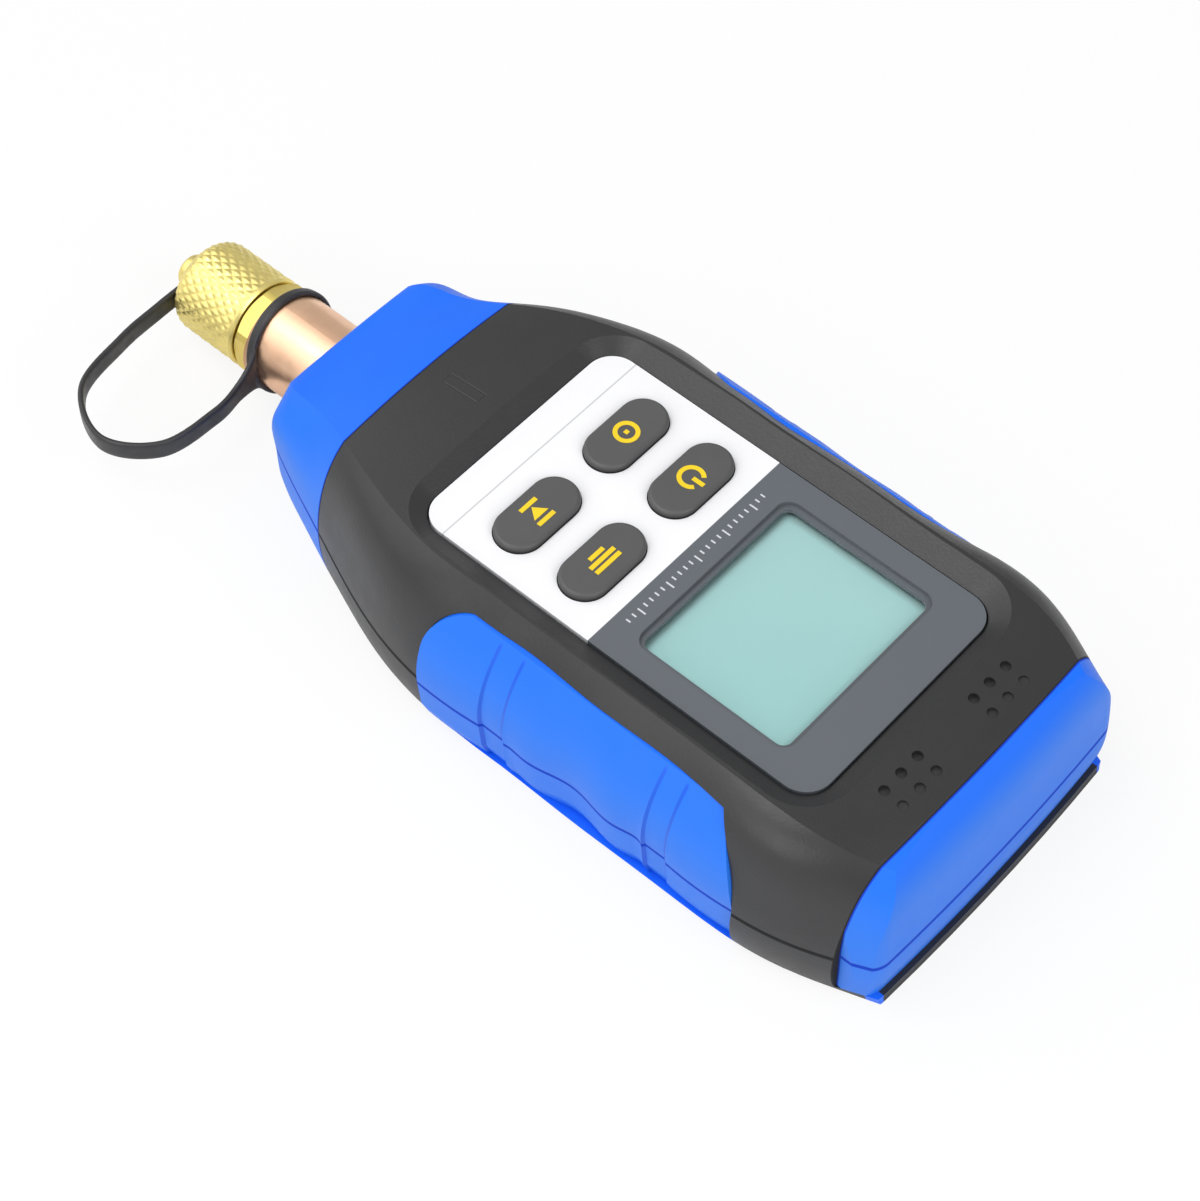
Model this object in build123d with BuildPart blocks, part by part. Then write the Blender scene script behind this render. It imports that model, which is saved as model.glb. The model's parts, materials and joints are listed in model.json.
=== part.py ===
"""Handheld digital vacuum gauge, lying on its back with the display up.

The frame: +Z out of the display, -Y out of the vacuum port, +Y towards the tail, +X to the right
as the display is read. The origin is on the flat back, under the middle of the housing's length.
Millimetres.
"""

from build123d import *
import math
import os

# Housing
PARTING_Z = 10.7
RIDGE_Z = 29.8
NOSE_END_Y = -64.0
NOSE_BORDER_Y = -47.0
TAIL_BORDER_Y = 59.2
TAIL_END_Y = 64.6
TAIL_REACH_Y = 67.0
SKIN = 2.2
FLOOR = 1.8
CAVITY_INSET = 5.2
CAVITY_TOP = 5.3
CAVITY_Y = (-44.0, 57.0)
TAIL_STRIP_Z = 1.6
TAIL_STRIP_PROUD = 0.9
END_ROUND = 1.0

# Each station of the housing: y, half-width at the back, at the parting line, at mid height,
# at the shoulder (with its height), at the top edge (with its height), and the crown's height.
STATIONS = (
    (-64.0, 16.8, 17.5, 16.8, (15.7, 19.1), (12.8, 22.0), 22.7),
    (-56.0, 20.6, 21.3, 20.3, (18.5, 21.1), (15.2, 24.3), 25.1),
    (-48.0, 24.0, 24.7, 23.5, (21.2, 22.8), (17.7, 26.3), 27.5),
    (-40.0, 27.0, 28.1, 26.9, (24.8, 24.4), (20.9, 28.1), 28.8),
    (-32.0, 29.5, 31.2, 30.1, (27.7, 25.1), (23.5, 28.9), 29.4),
    (-24.0, 31.4, 33.4, 32.3, (29.5, 25.5), (25.2, 29.3), 29.7),
    (-16.0, 32.3, 34.5, 32.9, (29.6, 25.5), (25.6, 29.5), 29.8),
    (-7.0, 32.4, 34.8, 32.8, (29.3, 25.4), (25.5, 29.6), 29.8),
    (7.0, 32.4, 34.8, 32.8, (29.3, 25.4), (25.5, 29.6), 29.8),
    (21.0, 32.4, 34.7, 32.8, (29.4, 25.4), (25.5, 29.6), 29.8),
    (33.0, 32.4, 34.5, 32.8, (29.8, 25.6), (25.6, 29.5), 29.8),
    (43.0, 32.1, 34.0, 32.7, (30.2, 25.9), (25.7, 29.5), 29.7),
    (51.0, 30.7, 32.5, 31.2, (28.9, 25.1), (24.9, 28.9), 29.4),
    (59.0, 28.2, 29.5, 28.1, (25.9, 23.4), (22.2, 27.2), 28.5),
    (67.0, 25.4, 26.0, 24.6, (22.4, 21.6), (18.9, 25.2), 26.9),
)
MID_Z = 18.0
BACK_EDGE_Z = 4.6
BACK_LEAN = 0.4
TRIM = 0.5
HUGE = 300.0

# End of the tail in plan: height, half-width and reach, with a chamfer above the flat end face
TAIL_LEVELS = (
    (-1.0, 28.3, 64.1),
    (5.0, 28.8, 64.5),
    (PARTING_Z, 29.0, TAIL_END_Y),
    (18.0, 28.6, 64.0),
    (22.6, 27.6, 63.3),
    (25.2, 26.6, 62.2),
    (27.2, 25.4, 60.6),
    (29.0, 23.8, 58.4),
)
TAIL_BOW = 0.9
TAIL_BORDER_BOW = 1.2
TAIL_CORNER = 4.0

# Grips: outer reach along the length, lobe by lobe, and the pocket that holds them
GRIP_Y = (-17.1, 42.6)
GRIP_TOP_Y = (-11.0, 36.4)
GRIP_SHOULDER_Z = 19.5
GRIP_END_ARCS = ((-15.1, 24.3), (40.9, 19.0))
GRIP_TOP_X = 28.6
GRIP_TOP_Z = 26.8
GRIP_BACK_Z = 1.2
GRIP_GAP = 0.15
GRIP_BELLY = 2.1
GRIP_LEAN = 4.4
GRIP_CORE = 20.0
GRIP_LOBES = (
    ((-18.0, 34.9), (-11.3, 35.0), (-5.1, 34.5)),
    ((-5.1, 34.5), (-4.7, 34.0)),
    ((-4.7, 34.0), (-0.8, 34.0)),
    ((-0.8, 34.0), (-0.2, 34.5)),
    ((-0.2, 34.5), (3.2, 34.5), (7.0, 34.15), (12.7, 33.25), (17.0, 33.9), (20.5, 34.15), (25.9, 33.95)),
    ((25.9, 33.95), (26.3, 33.45)),
    ((26.3, 33.45), (29.8, 33.4)),
    ((29.8, 33.4), (30.4, 33.9)),
    ((30.4, 33.9), (36.0, 34.05), (43.4, 33.4)),
)
GRIP_INNER = ((26.2, 27.4), (31.4, 10.7), (31.4, 4.6), (30.2, 0.0), (60.0, 0.0), (60.0, 27.4))

# Dimples in the front, beside the middle of the tail
DIMPLE_ROWS = (51.9, 55.2)
DIMPLE_X = (6.36, 10.0, 13.75)
DIMPLE_RADIUS = 0.85
DIMPLE_FLOOR_Z = 28.5

# Label plate and its dished frame
PLATE_WIDTH = 42.8
PLATE_LENGTH = 74.15
PLATE_Y0 = -29.0
PLATE_Y = PLATE_Y0 + PLATE_LENGTH / 2
PLATE_Z = 27.7
PLATE_THICKNESS = 1.6
PLATE_GAP = 0.3
PLATE_CORNER = 4.8
FRAME_SLOPE = 33.0
SHELL_FLOOR = 1.6

# Display
WINDOW_SIZE = (34.6, 28.2)
WINDOW_Y = 23.4
WINDOW_STEP = 0.8
WINDOW_CORNER = 1.6
LENS_THICKNESS = 0.8
LENS_GAP = 0.1
PANEL_SIZE = (37.0, 31.0)
PANEL_THICKNESS = 1.8
SHELL_WINDOW = (37.4, 31.4)
CONNECTOR_WIDTH = 1.6
CONNECTOR_LENGTH = 30.0

# Keys
KEY_LENGTH = 15.4
KEY_WIDTH = 7.9
KEY_X = 9.9
KEY_ROWS = (-15.6, -2.9)
KEY_PROUD = 1.2
KEY_CLEARANCE = 0.15
KEY_FLANGE = 0.8
KEY_STEM = 1.2
KEY_ROUND = 0.6

# Electronics
BOARD_Z = 14.6
BOARD_THICKNESS = 1.6
SWITCH_SIZE = 6.0
SWITCH_HEIGHT = 3.4
SWITCH_PLUNGER = 1.75
MAT_THICKNESS = 1.0
MAT_WALL = 1.0
MAT_PAD = 0.8
BOARD_OUTLINE = ((16.0, -42.5), (24.6, -26.0), (25.8, 38.0), (22.6, 52.0))

# Battery bay
CELL_RADIUS = 5.25
CELL_LENGTH = 44.5
CELL_PITCH = 11.2
CELL_COUNT = 3
CELL_Y = 30.2
CELL_Z = 7.4
CELL_NUB = 1.0
CELL_NUB_RADIUS = 1.9
BAY_SIZE = (36.0, 49.5)
BAY_WALL = 1.4
BAY_TOP_Z = 12.0
LEDGE_Z = 3.4
DOOR_SIZE = (39.0, 54.4)
DOOR_Y = 29.3
DOOR_THICKNESS = 1.6
DOOR_CORNER = 3.0
DOOR_GAP = 0.15
DOOR_SCREW = (0.0, 4.3)
DOOR_SCREW_RADIUS = 0.95
DOOR_SCREW_HEAD = 1.9
DOOR_SCREW_TIP_Z = 6.2
DOOR_BOSS_RADIUS = 2.2
CONTACT_SHEET = 0.4
CONTACT_WIDTH = 7.0

# Vacuum port
PORT_Z = 9.0
TUBE_RADIUS = 8.1
TUBE_NECK_RADIUS = 6.4
TUBE_WALL = 1.2
TUBE_Y = (-80.7, -46.5)
SEAL_Y = (-61.8, -60.0)
SEAL_RADIUS = 7.1
HEADER_THICKNESS = 1.5
PIN_LENGTH = 4.0
PIN_RADIUS = 0.4
SPIGOT_LENGTH = 6.0
HEX_FLATS = 14.6
HEX_LENGTH = 2.9
HEX_ROUND = 0.7
HEX_END_Y = TUBE_Y[0] - HEX_LENGTH
FLARE_RADIUS = 5.55
FLARE_LENGTH = 10.6
FLARE_BORE = 2.4
CAP_RADIUS = 8.1
CAP_Y = (-98.2, -83.8)
CAP_BORE = 5.65
CAP_BORE_DEPTH = 11.5
CAP_SEAL = 0.9
CAP_ROUND = 3.0
KNOB_RADIUS = 2.9
KNOB_NECK_RADIUS = 1.9
KNOB_TIP_Y = -101.6
KNOB_HEAD = 1.8
KNOB_RING_RADIUS = 3.6

# Tether: ring on the tube, leaning back towards the strap, band's middle line in plan, knob's ring
RING_RADIUS = 8.95
RING_WIDTH = 1.8
RING_LEAN = 10.0
RING_MIDDLE_Y = -78.2
STRAP_THICKNESS = 1.0
STRAP_WIDTH = 3.6
STRAP_SAG = 0.5
STRAP_WEB = 15.0
STRAP_PLAY = 0.08
STRAP_PATH = ((18.5, -76.4), (28.6, -77.9), (34.1, -86.0), (29.2, -95.6), (18.0, -98.4))

# Screws
SCREW_PLACES = ((19.0, -38.0), (-19.0, -38.0), (24.6, 45.0), (-24.6, 45.0))
SCREW_RADIUS = 1.25
SCREW_HEAD_RADIUS = 2.4
SCREW_HEAD_HEIGHT = 2.0
SCREW_SEAT_Z = 3.2
SCREW_TIP_Z = 18.0
BOSS_RADIUS = 3.0

# The port's own axis
PORT_AXIS = Axis((0, 0, PORT_Z), (0, 1, 0))

os.makedirs("parts", exist_ok=True)


def save(part, name):
    """Label a finished piece and write it under its own name."""
    part.label = name
    export_step(part, f"parts/{name}.step")


def section_plane(y):
    """Vertical plane across the housing, with its x along +X and its y along +Z."""
    return Plane(origin=(0, y, 0), x_dir=(1, 0, 0), z_dir=(0, -1, 0))


def housing_section(station, inset, top_inset, base):
    """Closed section of the housing at one station, set in by a wall."""
    back, part, mid, (shoulder_x, shoulder_z), (edge_x, edge_z), crown = station[1:]
    right = [
        (back - inset - BACK_LEAN, base - TRIM),
        (part - inset - BACK_LEAN / 2, BACK_EDGE_Z + base / 2),
        (part - inset, PARTING_Z),
        (mid - inset, MID_Z - top_inset / 2),
        (shoulder_x - inset, shoulder_z - top_inset),
        (edge_x - inset, edge_z - top_inset),
    ]
    left = [(-x, z) for x, z in reversed(right)]
    with BuildLine() as outline:
        Line(left[-1], right[0])
        Spline(*right)
        ThreePointArc(right[-1], (0, crown - top_inset), left[0])
        Spline(*left)
    return outline


def housing_body(inset, top_inset, base, start, end):
    """Smooth solid through the housing's stations, set in all round and cut to a length."""
    with BuildPart() as body:
        for station in STATIONS:
            with BuildSketch(section_plane(station[0])):
                outline = housing_section(station, inset, top_inset, base)
                add(outline.line)
                make_face()
        loft()
        with BuildSketch(Plane.XY.offset(base)):
            with Locations((0, (start + end) / 2)):
                Rectangle(HUGE, end - start)
        extrude(amount=HUGE, mode=Mode.INTERSECT)
    return body.part


def tail_end(inset):
    """Block that ends the tail: rounded and slightly bowed in plan, chamfered towards the front."""
    with BuildPart() as block:
        for z, half_width, reach in TAIL_LEVELS:
            with BuildSketch(Plane.XY.offset(z - inset)) as level:
                wide, end = half_width - inset, reach - inset
                with BuildLine():
                    ThreePointArc((-wide, end - TAIL_BOW), (0, end), (wide, end - TAIL_BOW))
                    Polyline((wide, end - TAIL_BOW), (wide, 0), (-wide, 0), (-wide, end - TAIL_BOW))
                make_face()
                fillet(level.vertices().group_by(Axis.Y)[-1], TAIL_CORNER)
        loft()
    return block.part


def tail_zone():
    """Space beyond the tail cover's border, which bows like the end of the tail."""
    half = STATIONS[-2][2]
    with BuildPart() as zone:
        with BuildSketch(Plane.XY.offset(-1)):
            with BuildLine():
                ThreePointArc(
                    (-half, TAIL_BORDER_Y - TAIL_BORDER_BOW),
                    (0, TAIL_BORDER_Y),
                    (half, TAIL_BORDER_Y - TAIL_BORDER_BOW),
                )
                Polyline(
                    (half, TAIL_BORDER_Y - TAIL_BORDER_BOW),
                    (2 * half, TAIL_BORDER_Y - TAIL_BORDER_BOW),
                    (2 * half, TAIL_REACH_Y),
                    (-2 * half, TAIL_REACH_Y),
                    (-2 * half, TAIL_BORDER_Y - TAIL_BORDER_BOW),
                    (-half, TAIL_BORDER_Y - TAIL_BORDER_BOW),
                )
            make_face()
        extrude(amount=RIDGE_Z + 2)
    return zone.part


def slab(z0, z1, y0, y1):
    """Plain block across the whole housing, to cut with."""
    with BuildPart() as block:
        with BuildSketch(Plane.XY.offset(z0)):
            with Locations((0, (y0 + y1) / 2)):
                Rectangle(HUGE, y1 - y0)
        extrude(amount=z1 - z0)
    return block.part


def grip_zone(side, z0, z1, gap):
    """Space that a grip fills: outside the pocket's inner wall, within the curved ends."""
    port_y, tail_y = GRIP_Y[0] + gap, GRIP_Y[1] - gap
    top_z = GRIP_TOP_Z - gap
    (port_arc_y, port_arc_z), (tail_arc_y, tail_arc_z) = GRIP_END_ARCS
    with BuildPart() as zone:
        with BuildSketch(section_plane(GRIP_Y[1] + 1)):
            with BuildLine():
                Polyline(*[(side * x, z) for x, z in GRIP_INNER], close=True)
            make_face()
        extrude(amount=GRIP_Y[1] - GRIP_Y[0] + 2)
        with BuildSketch(Plane.YZ.offset(-HUGE / 2)):
            with BuildLine():
                ThreePointArc(
                    (port_y, GRIP_SHOULDER_Z), (port_arc_y + gap, port_arc_z), (GRIP_TOP_Y[0], top_z)
                )
                Line((GRIP_TOP_Y[0], top_z), (GRIP_TOP_Y[1], top_z))
                ThreePointArc(
                    (GRIP_TOP_Y[1], top_z), (tail_arc_y - gap, tail_arc_z), (tail_y, PARTING_Z)
                )
                Polyline(
                    (tail_y, PARTING_Z),
                    (tail_y, GRIP_BACK_Z),
                    (port_y, GRIP_BACK_Z),
                    (port_y, GRIP_SHOULDER_Z),
                )
            make_face()
        extrude(amount=HUGE, mode=Mode.INTERSECT)
        add(slab(z0, z1, GRIP_Y[0] - 2, GRIP_Y[1] + 2), mode=Mode.INTERSECT)
    return zone.part


def grip_skin(side):
    """Outer form of a grip: three finger lobes with a small step between them."""
    with BuildPart() as skin:
        for lobe in GRIP_LOBES:
            for y, reach in lobe:
                with BuildSketch(section_plane(y)):
                    with BuildLine():
                        Polyline(
                            (side * reach, PARTING_Z),
                            (side * (reach - GRIP_LEAN / 8), BACK_EDGE_Z),
                            (side * (reach - GRIP_LEAN / 2), 0),
                            (side * GRIP_CORE, 0),
                            (side * GRIP_CORE, GRIP_TOP_Z),
                            (side * GRIP_TOP_X, GRIP_TOP_Z),
                        )
                        ThreePointArc(
                            (side * GRIP_TOP_X, GRIP_TOP_Z),
                            (side * ((reach + GRIP_TOP_X) / 2 + GRIP_BELLY), MID_Z + 0.8),
                            (side * reach, PARTING_Z),
                        )
                    make_face()
            loft(ruled=len(lobe) == 2)
    return skin.part


def grip(side, z0, z1):
    """One moulded half of a grip."""
    with BuildPart() as piece:
        add(grip_zone(side, z0, z1, GRIP_GAP))
        add(grip_skin(side), mode=Mode.INTERSECT)
    return piece.part


def port_plane(y):
    """Plane across the port's axis, facing out of the port."""
    return Plane(origin=(0, y, PORT_Z), x_dir=(1, 0, 0), z_dir=(0, -1, 0))


def frame_block(size, corner, y, z0, z1):
    """Upright block with rounded corners on the display's centre line."""
    with BuildPart() as block:
        with BuildSketch(Plane.XY.offset(z0)):
            with Locations((0, y)):
                RectangleRounded(*size, corner)
        extrude(amount=z1 - z0)
    return block.part


def key_places():
    """Centres of the four keys."""
    return [(x, y) for y in KEY_ROWS for x in (-KEY_X, KEY_X)]


# Solids that several pieces are cut from
tail_start = TAIL_BORDER_Y - 2 * TAIL_BORDER_BOW
beyond_border = tail_zone()
with BuildPart() as middle:
    add(housing_body(0, 0, 0, NOSE_BORDER_Y, TAIL_BORDER_Y))
    add(beyond_border, mode=Mode.SUBTRACT)
    for side in (-1, 1):
        add(grip_zone(side, GRIP_BACK_Z, GRIP_TOP_Z, 0), mode=Mode.SUBTRACT)
nose_form = housing_body(0, 0, 0, NOSE_END_Y, NOSE_BORDER_Y)
nose_core = housing_body(SKIN, SKIN, FLOOR, NOSE_END_Y + SKIN, NOSE_BORDER_Y)
with BuildPart() as tail_form:
    add(housing_body(0, 0, 0, tail_start, TAIL_REACH_Y))
    add(beyond_border, mode=Mode.INTERSECT)
    add(tail_end(0), mode=Mode.INTERSECT)
with BuildPart() as tail_core:
    add(housing_body(SKIN, SKIN, FLOOR, tail_start, TAIL_REACH_Y))
    add(tail_end(SKIN), mode=Mode.INTERSECT)
cavity = housing_body(CAVITY_INSET, CAVITY_TOP, FLOOR, *CAVITY_Y)
panel_z = PLATE_Z - PLATE_THICKNESS
shell_floor_z = panel_z - SHELL_FLOOR

# Front shell: the dished frame, the plate's seat and the window and key openings
frame_rise = RIDGE_Z + 1 - (PLATE_Z - PLATE_GAP)
frame_grow = frame_rise / math.tan(math.radians(FRAME_SLOPE))
plate_seat = (PLATE_WIDTH + 2 * PLATE_GAP, PLATE_LENGTH + 2 * PLATE_GAP)
with BuildPart() as front_shell:
    add(middle.part)
    add(nose_core)
    add(tail_core.part)
    add(slab(-1, PARTING_Z, -HUGE, HUGE), mode=Mode.SUBTRACT)
    add(cavity, mode=Mode.SUBTRACT)
    add(
        frame_block((PLATE_WIDTH - 2, PLATE_LENGTH - 2), PLATE_CORNER, PLATE_Y, PARTING_Z, shell_floor_z),
        mode=Mode.SUBTRACT,
    )
    with BuildSketch(Plane.XY.offset(PLATE_Z - PLATE_GAP)):
        with Locations((0, PLATE_Y)):
            RectangleRounded(*plate_seat, PLATE_CORNER)
    with BuildSketch(Plane.XY.offset(PLATE_Z - PLATE_GAP + frame_rise)):
        with Locations((0, PLATE_Y)):
            RectangleRounded(
                plate_seat[0] + 2 * frame_grow, plate_seat[1] + 2 * frame_grow, PLATE_CORNER + frame_grow
            )
    loft(mode=Mode.SUBTRACT)
    add(frame_block(plate_seat, PLATE_CORNER, PLATE_Y, panel_z, PLATE_Z), mode=Mode.SUBTRACT)
    add(frame_block(SHELL_WINDOW, WINDOW_CORNER, WINDOW_Y, shell_floor_z - 1, panel_z), mode=Mode.SUBTRACT)
    with BuildSketch(Plane.XY.offset(shell_floor_z - 1)):
        with Locations(*key_places()):
            SlotOverall(KEY_LENGTH + 2 * KEY_CLEARANCE, KEY_WIDTH + 2 * KEY_CLEARANCE)
    extrude(amount=SHELL_FLOOR + 1, mode=Mode.SUBTRACT)
    with BuildSketch(Plane.XY.offset(PARTING_Z)):
        with Locations(*SCREW_PLACES):
            Circle(BOSS_RADIUS)
    extrude(amount=shell_floor_z + 1 - PARTING_Z)
    with BuildSketch(Plane.XY.offset(PARTING_Z)):
        with Locations(*SCREW_PLACES):
            Circle(SCREW_RADIUS)
    extrude(amount=SCREW_TIP_Z - PARTING_Z, mode=Mode.SUBTRACT)
    with BuildSketch(port_plane(NOSE_BORDER_Y + 4)):
        Circle(TUBE_NECK_RADIUS)
    extrude(amount=NOSE_BORDER_Y + 4 - NOSE_END_Y, mode=Mode.SUBTRACT)
    with BuildSketch(port_plane(SEAL_Y[1])):
        Circle(SEAL_RADIUS)
    extrude(amount=SEAL_Y[1] - SEAL_Y[0], mode=Mode.SUBTRACT)
    with BuildSketch(Plane.XY.offset(DIMPLE_FLOOR_Z)):
        for row_y in DIMPLE_ROWS:
            with Locations(*[(side * x, row_y) for side in (-1, 1) for x in DIMPLE_X]):
                Circle(DIMPLE_RADIUS)
    extrude(amount=HUGE, mode=Mode.SUBTRACT)
save(front_shell.part, "front_shell")

# Back shell: floor, battery bay, screw bosses and the black strip under the tail
with BuildPart() as tail_strip:
    add(housing_body(0, 0, 0, tail_start, TAIL_REACH_Y))
    add(tail_end(-TAIL_STRIP_PROUD), mode=Mode.INTERSECT)
    add(slab(-1, TAIL_STRIP_Z, tail_start, TAIL_REACH_Y), mode=Mode.INTERSECT)
with BuildPart() as back_shell:
    add(middle.part)
    add(nose_core)
    add(tail_core.part)
    add(tail_strip.part)
    add(slab(PARTING_Z, HUGE, -HUGE, HUGE), mode=Mode.SUBTRACT)
    add(cavity, mode=Mode.SUBTRACT)
    with BuildSketch(Plane.XY.offset(FLOOR - 0.4)):
        with Locations((0, DOOR_Y)):
            Rectangle(DOOR_SIZE[0] + 2, DOOR_SIZE[1] + 2)
    extrude(amount=LEDGE_Z - FLOOR + 0.4)
    with BuildSketch(Plane.XY.offset(LEDGE_Z)):
        with Locations((0, CELL_Y)):
            Rectangle(BAY_SIZE[0] + 2 * BAY_WALL, BAY_SIZE[1] + 2 * BAY_WALL)
    extrude(amount=BAY_TOP_Z - LEDGE_Z)
    with BuildSketch(Plane.XY.offset(FLOOR - 0.4)):
        with Locations(DOOR_SCREW):
            Circle(DOOR_BOSS_RADIUS)
    extrude(amount=DOOR_SCREW_TIP_Z + 0.8 - FLOOR + 0.4)
    with BuildSketch(Plane.XY.offset(DOOR_THICKNESS)):
        with Locations((0, CELL_Y)):
            Rectangle(*BAY_SIZE)
    extrude(amount=BAY_TOP_Z, mode=Mode.SUBTRACT)
    door_seat = (DOOR_SIZE[0] + 2 * DOOR_GAP, DOOR_SIZE[1] + 2 * DOOR_GAP)
    add(frame_block(door_seat, DOOR_CORNER, DOOR_Y, -1, DOOR_THICKNESS), mode=Mode.SUBTRACT)
    with BuildSketch(Plane.XY):
        with Locations(DOOR_SCREW):
            Circle(DOOR_SCREW_RADIUS)
    extrude(amount=DOOR_SCREW_TIP_Z, mode=Mode.SUBTRACT)
    with BuildSketch(Plane.XY.offset(FLOOR - 0.4)):
        with Locations(*SCREW_PLACES):
            Circle(BOSS_RADIUS + 0.6)
    extrude(amount=PARTING_Z - FLOOR + 0.4)
    with BuildSketch(Plane.XY.offset(-1)):
        with Locations(*SCREW_PLACES):
            Circle(SCREW_RADIUS)
    extrude(amount=HUGE, mode=Mode.SUBTRACT)
    with BuildSketch(Plane.XY.offset(-1)):
        with Locations(*SCREW_PLACES):
            Circle(SCREW_HEAD_RADIUS + 0.2)
    extrude(amount=SCREW_SEAT_Z + 1, mode=Mode.SUBTRACT)
    with BuildSketch(port_plane(NOSE_BORDER_Y + 4)):
        Circle(TUBE_NECK_RADIUS)
    extrude(amount=NOSE_BORDER_Y + 4 - NOSE_END_Y, mode=Mode.SUBTRACT)
    with BuildSketch(port_plane(SEAL_Y[1])):
        Circle(SEAL_RADIUS)
    extrude(amount=SEAL_Y[1] - SEAL_Y[0], mode=Mode.SUBTRACT)
save(back_shell.part, "back_shell")

# Blue covers
with BuildPart() as nose_bumper:
    add(nose_form)
    end_edges = nose_bumper.faces().sort_by(Axis.Y)[0].edges()
    fillet(end_edges, END_ROUND)
    add(nose_core, mode=Mode.SUBTRACT)
    with BuildSketch(port_plane(NOSE_END_Y + 2 * SKIN)):
        Circle(TUBE_NECK_RADIUS)
    extrude(amount=3 * SKIN, mode=Mode.SUBTRACT)
save(nose_bumper.part, "nose_bumper")

with BuildPart() as tail_cover:
    add(tail_form.part)
    add(slab(-1, TAIL_STRIP_Z, -HUGE, HUGE), mode=Mode.SUBTRACT)
    add(tail_core.part, mode=Mode.SUBTRACT)
for name, z0, z1 in (("tail_bumper_back", 0, PARTING_Z), ("tail_bumper_front", PARTING_Z, HUGE)):
    with BuildPart() as tail_bumper:
        add(tail_cover.part)
        add(slab(z0, z1, tail_start, TAIL_REACH_Y), mode=Mode.INTERSECT)
    save(tail_bumper.part, name)

for side, side_name in ((-1, "left"), (1, "right")):
    for half, z0, z1 in (("back", GRIP_BACK_Z, PARTING_Z), ("front", PARTING_Z, GRIP_TOP_Z)):
        save(grip(side, z0, z1), f"grip_{side_name}_{half}")

# Label plate, its window stepped in towards the display
with BuildPart() as faceplate:
    add(frame_block((PLATE_WIDTH, PLATE_LENGTH), PLATE_CORNER - PLATE_GAP, PLATE_Y, panel_z, PLATE_Z))
    rim = [size - 2 * WINDOW_STEP for size in WINDOW_SIZE]
    add(frame_block(rim, WINDOW_CORNER, WINDOW_Y, panel_z, PLATE_Z), mode=Mode.SUBTRACT)
    add(
        frame_block(WINDOW_SIZE, WINDOW_CORNER + WINDOW_STEP, WINDOW_Y, PLATE_Z - WINDOW_STEP, PLATE_Z),
        mode=Mode.SUBTRACT,
    )
    with BuildSketch(Plane.XY.offset(panel_z)):
        with Locations(*key_places()):
            SlotOverall(KEY_LENGTH + 2 * KEY_CLEARANCE, KEY_WIDTH + 2 * KEY_CLEARANCE)
    extrude(amount=PLATE_THICKNESS, mode=Mode.SUBTRACT)
save(faceplate.part, "faceplate")

# Display, from the window down to the board
lens_z0 = panel_z - LENS_THICKNESS
panel_top_z = lens_z0 - LENS_GAP
save(frame_block(PANEL_SIZE, WINDOW_CORNER, WINDOW_Y, lens_z0, panel_z), "display_window")
panel_z0 = panel_top_z - PANEL_THICKNESS
save(frame_block(PANEL_SIZE, WINDOW_CORNER, WINDOW_Y, panel_z0, panel_top_z), "display_panel")

board_top_z = BOARD_Z + BOARD_THICKNESS
connector_y = PANEL_SIZE[1] / 2 - 1.4
with BuildPart() as display_holder:
    add(frame_block((PANEL_SIZE[0] + 2, PANEL_SIZE[1] + 2), 1.0, WINDOW_Y, board_top_z, panel_z0))
    inside = (PANEL_SIZE[0] - 4, PANEL_SIZE[1] - 6)
    add(frame_block(inside, 1.0, WINDOW_Y, board_top_z, panel_z0), mode=Mode.SUBTRACT)
    with BuildSketch(Plane.XY.offset(board_top_z)):
        with Locations((0, WINDOW_Y - connector_y), (0, WINDOW_Y + connector_y)):
            Rectangle(CONNECTOR_LENGTH, CONNECTOR_WIDTH)
    extrude(amount=panel_z0 - board_top_z, mode=Mode.SUBTRACT)
save(display_holder.part, "display_holder")

with BuildPart() as display_connectors:
    with BuildSketch(Plane.XY.offset(board_top_z)):
        with Locations((0, WINDOW_Y - connector_y), (0, WINDOW_Y + connector_y)):
            Rectangle(CONNECTOR_LENGTH, CONNECTOR_WIDTH)
    extrude(amount=panel_z0 - board_top_z)
save(display_connectors.part, "display_connectors")

# Keys: a domed cap, a flange that stays under the shell and a stem down to the mat
key_top_z = PLATE_Z + KEY_PROUD
flange_top_z = shell_floor_z - KEY_CLEARANCE
mat_pad_z = flange_top_z - KEY_FLANGE - KEY_STEM
for name, (x, y) in zip(("button_set", "button_save", "button_power", "button_unit"), key_places()):
    with BuildPart() as key:
        with BuildSketch(Plane.XY.offset(flange_top_z - KEY_FLANGE)):
            with Locations((x, y)):
                SlotOverall(KEY_LENGTH, KEY_WIDTH)
        extrude(amount=key_top_z - flange_top_z + KEY_FLANGE)
        fillet(key.faces().sort_by(Axis.Z)[-1].edges(), KEY_ROUND)
        with BuildSketch(Plane.XY.offset(flange_top_z - KEY_FLANGE)):
            with Locations((x, y)):
                SlotOverall(KEY_LENGTH + 1.6, KEY_WIDTH + 1.6)
        extrude(amount=KEY_FLANGE)
        with BuildSketch(Plane.XY.offset(mat_pad_z)):
            with Locations((x, y)):
                SlotOverall(KEY_LENGTH / 2, KEY_WIDTH / 2)
        extrude(amount=KEY_STEM)
    save(key.part, name)

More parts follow.
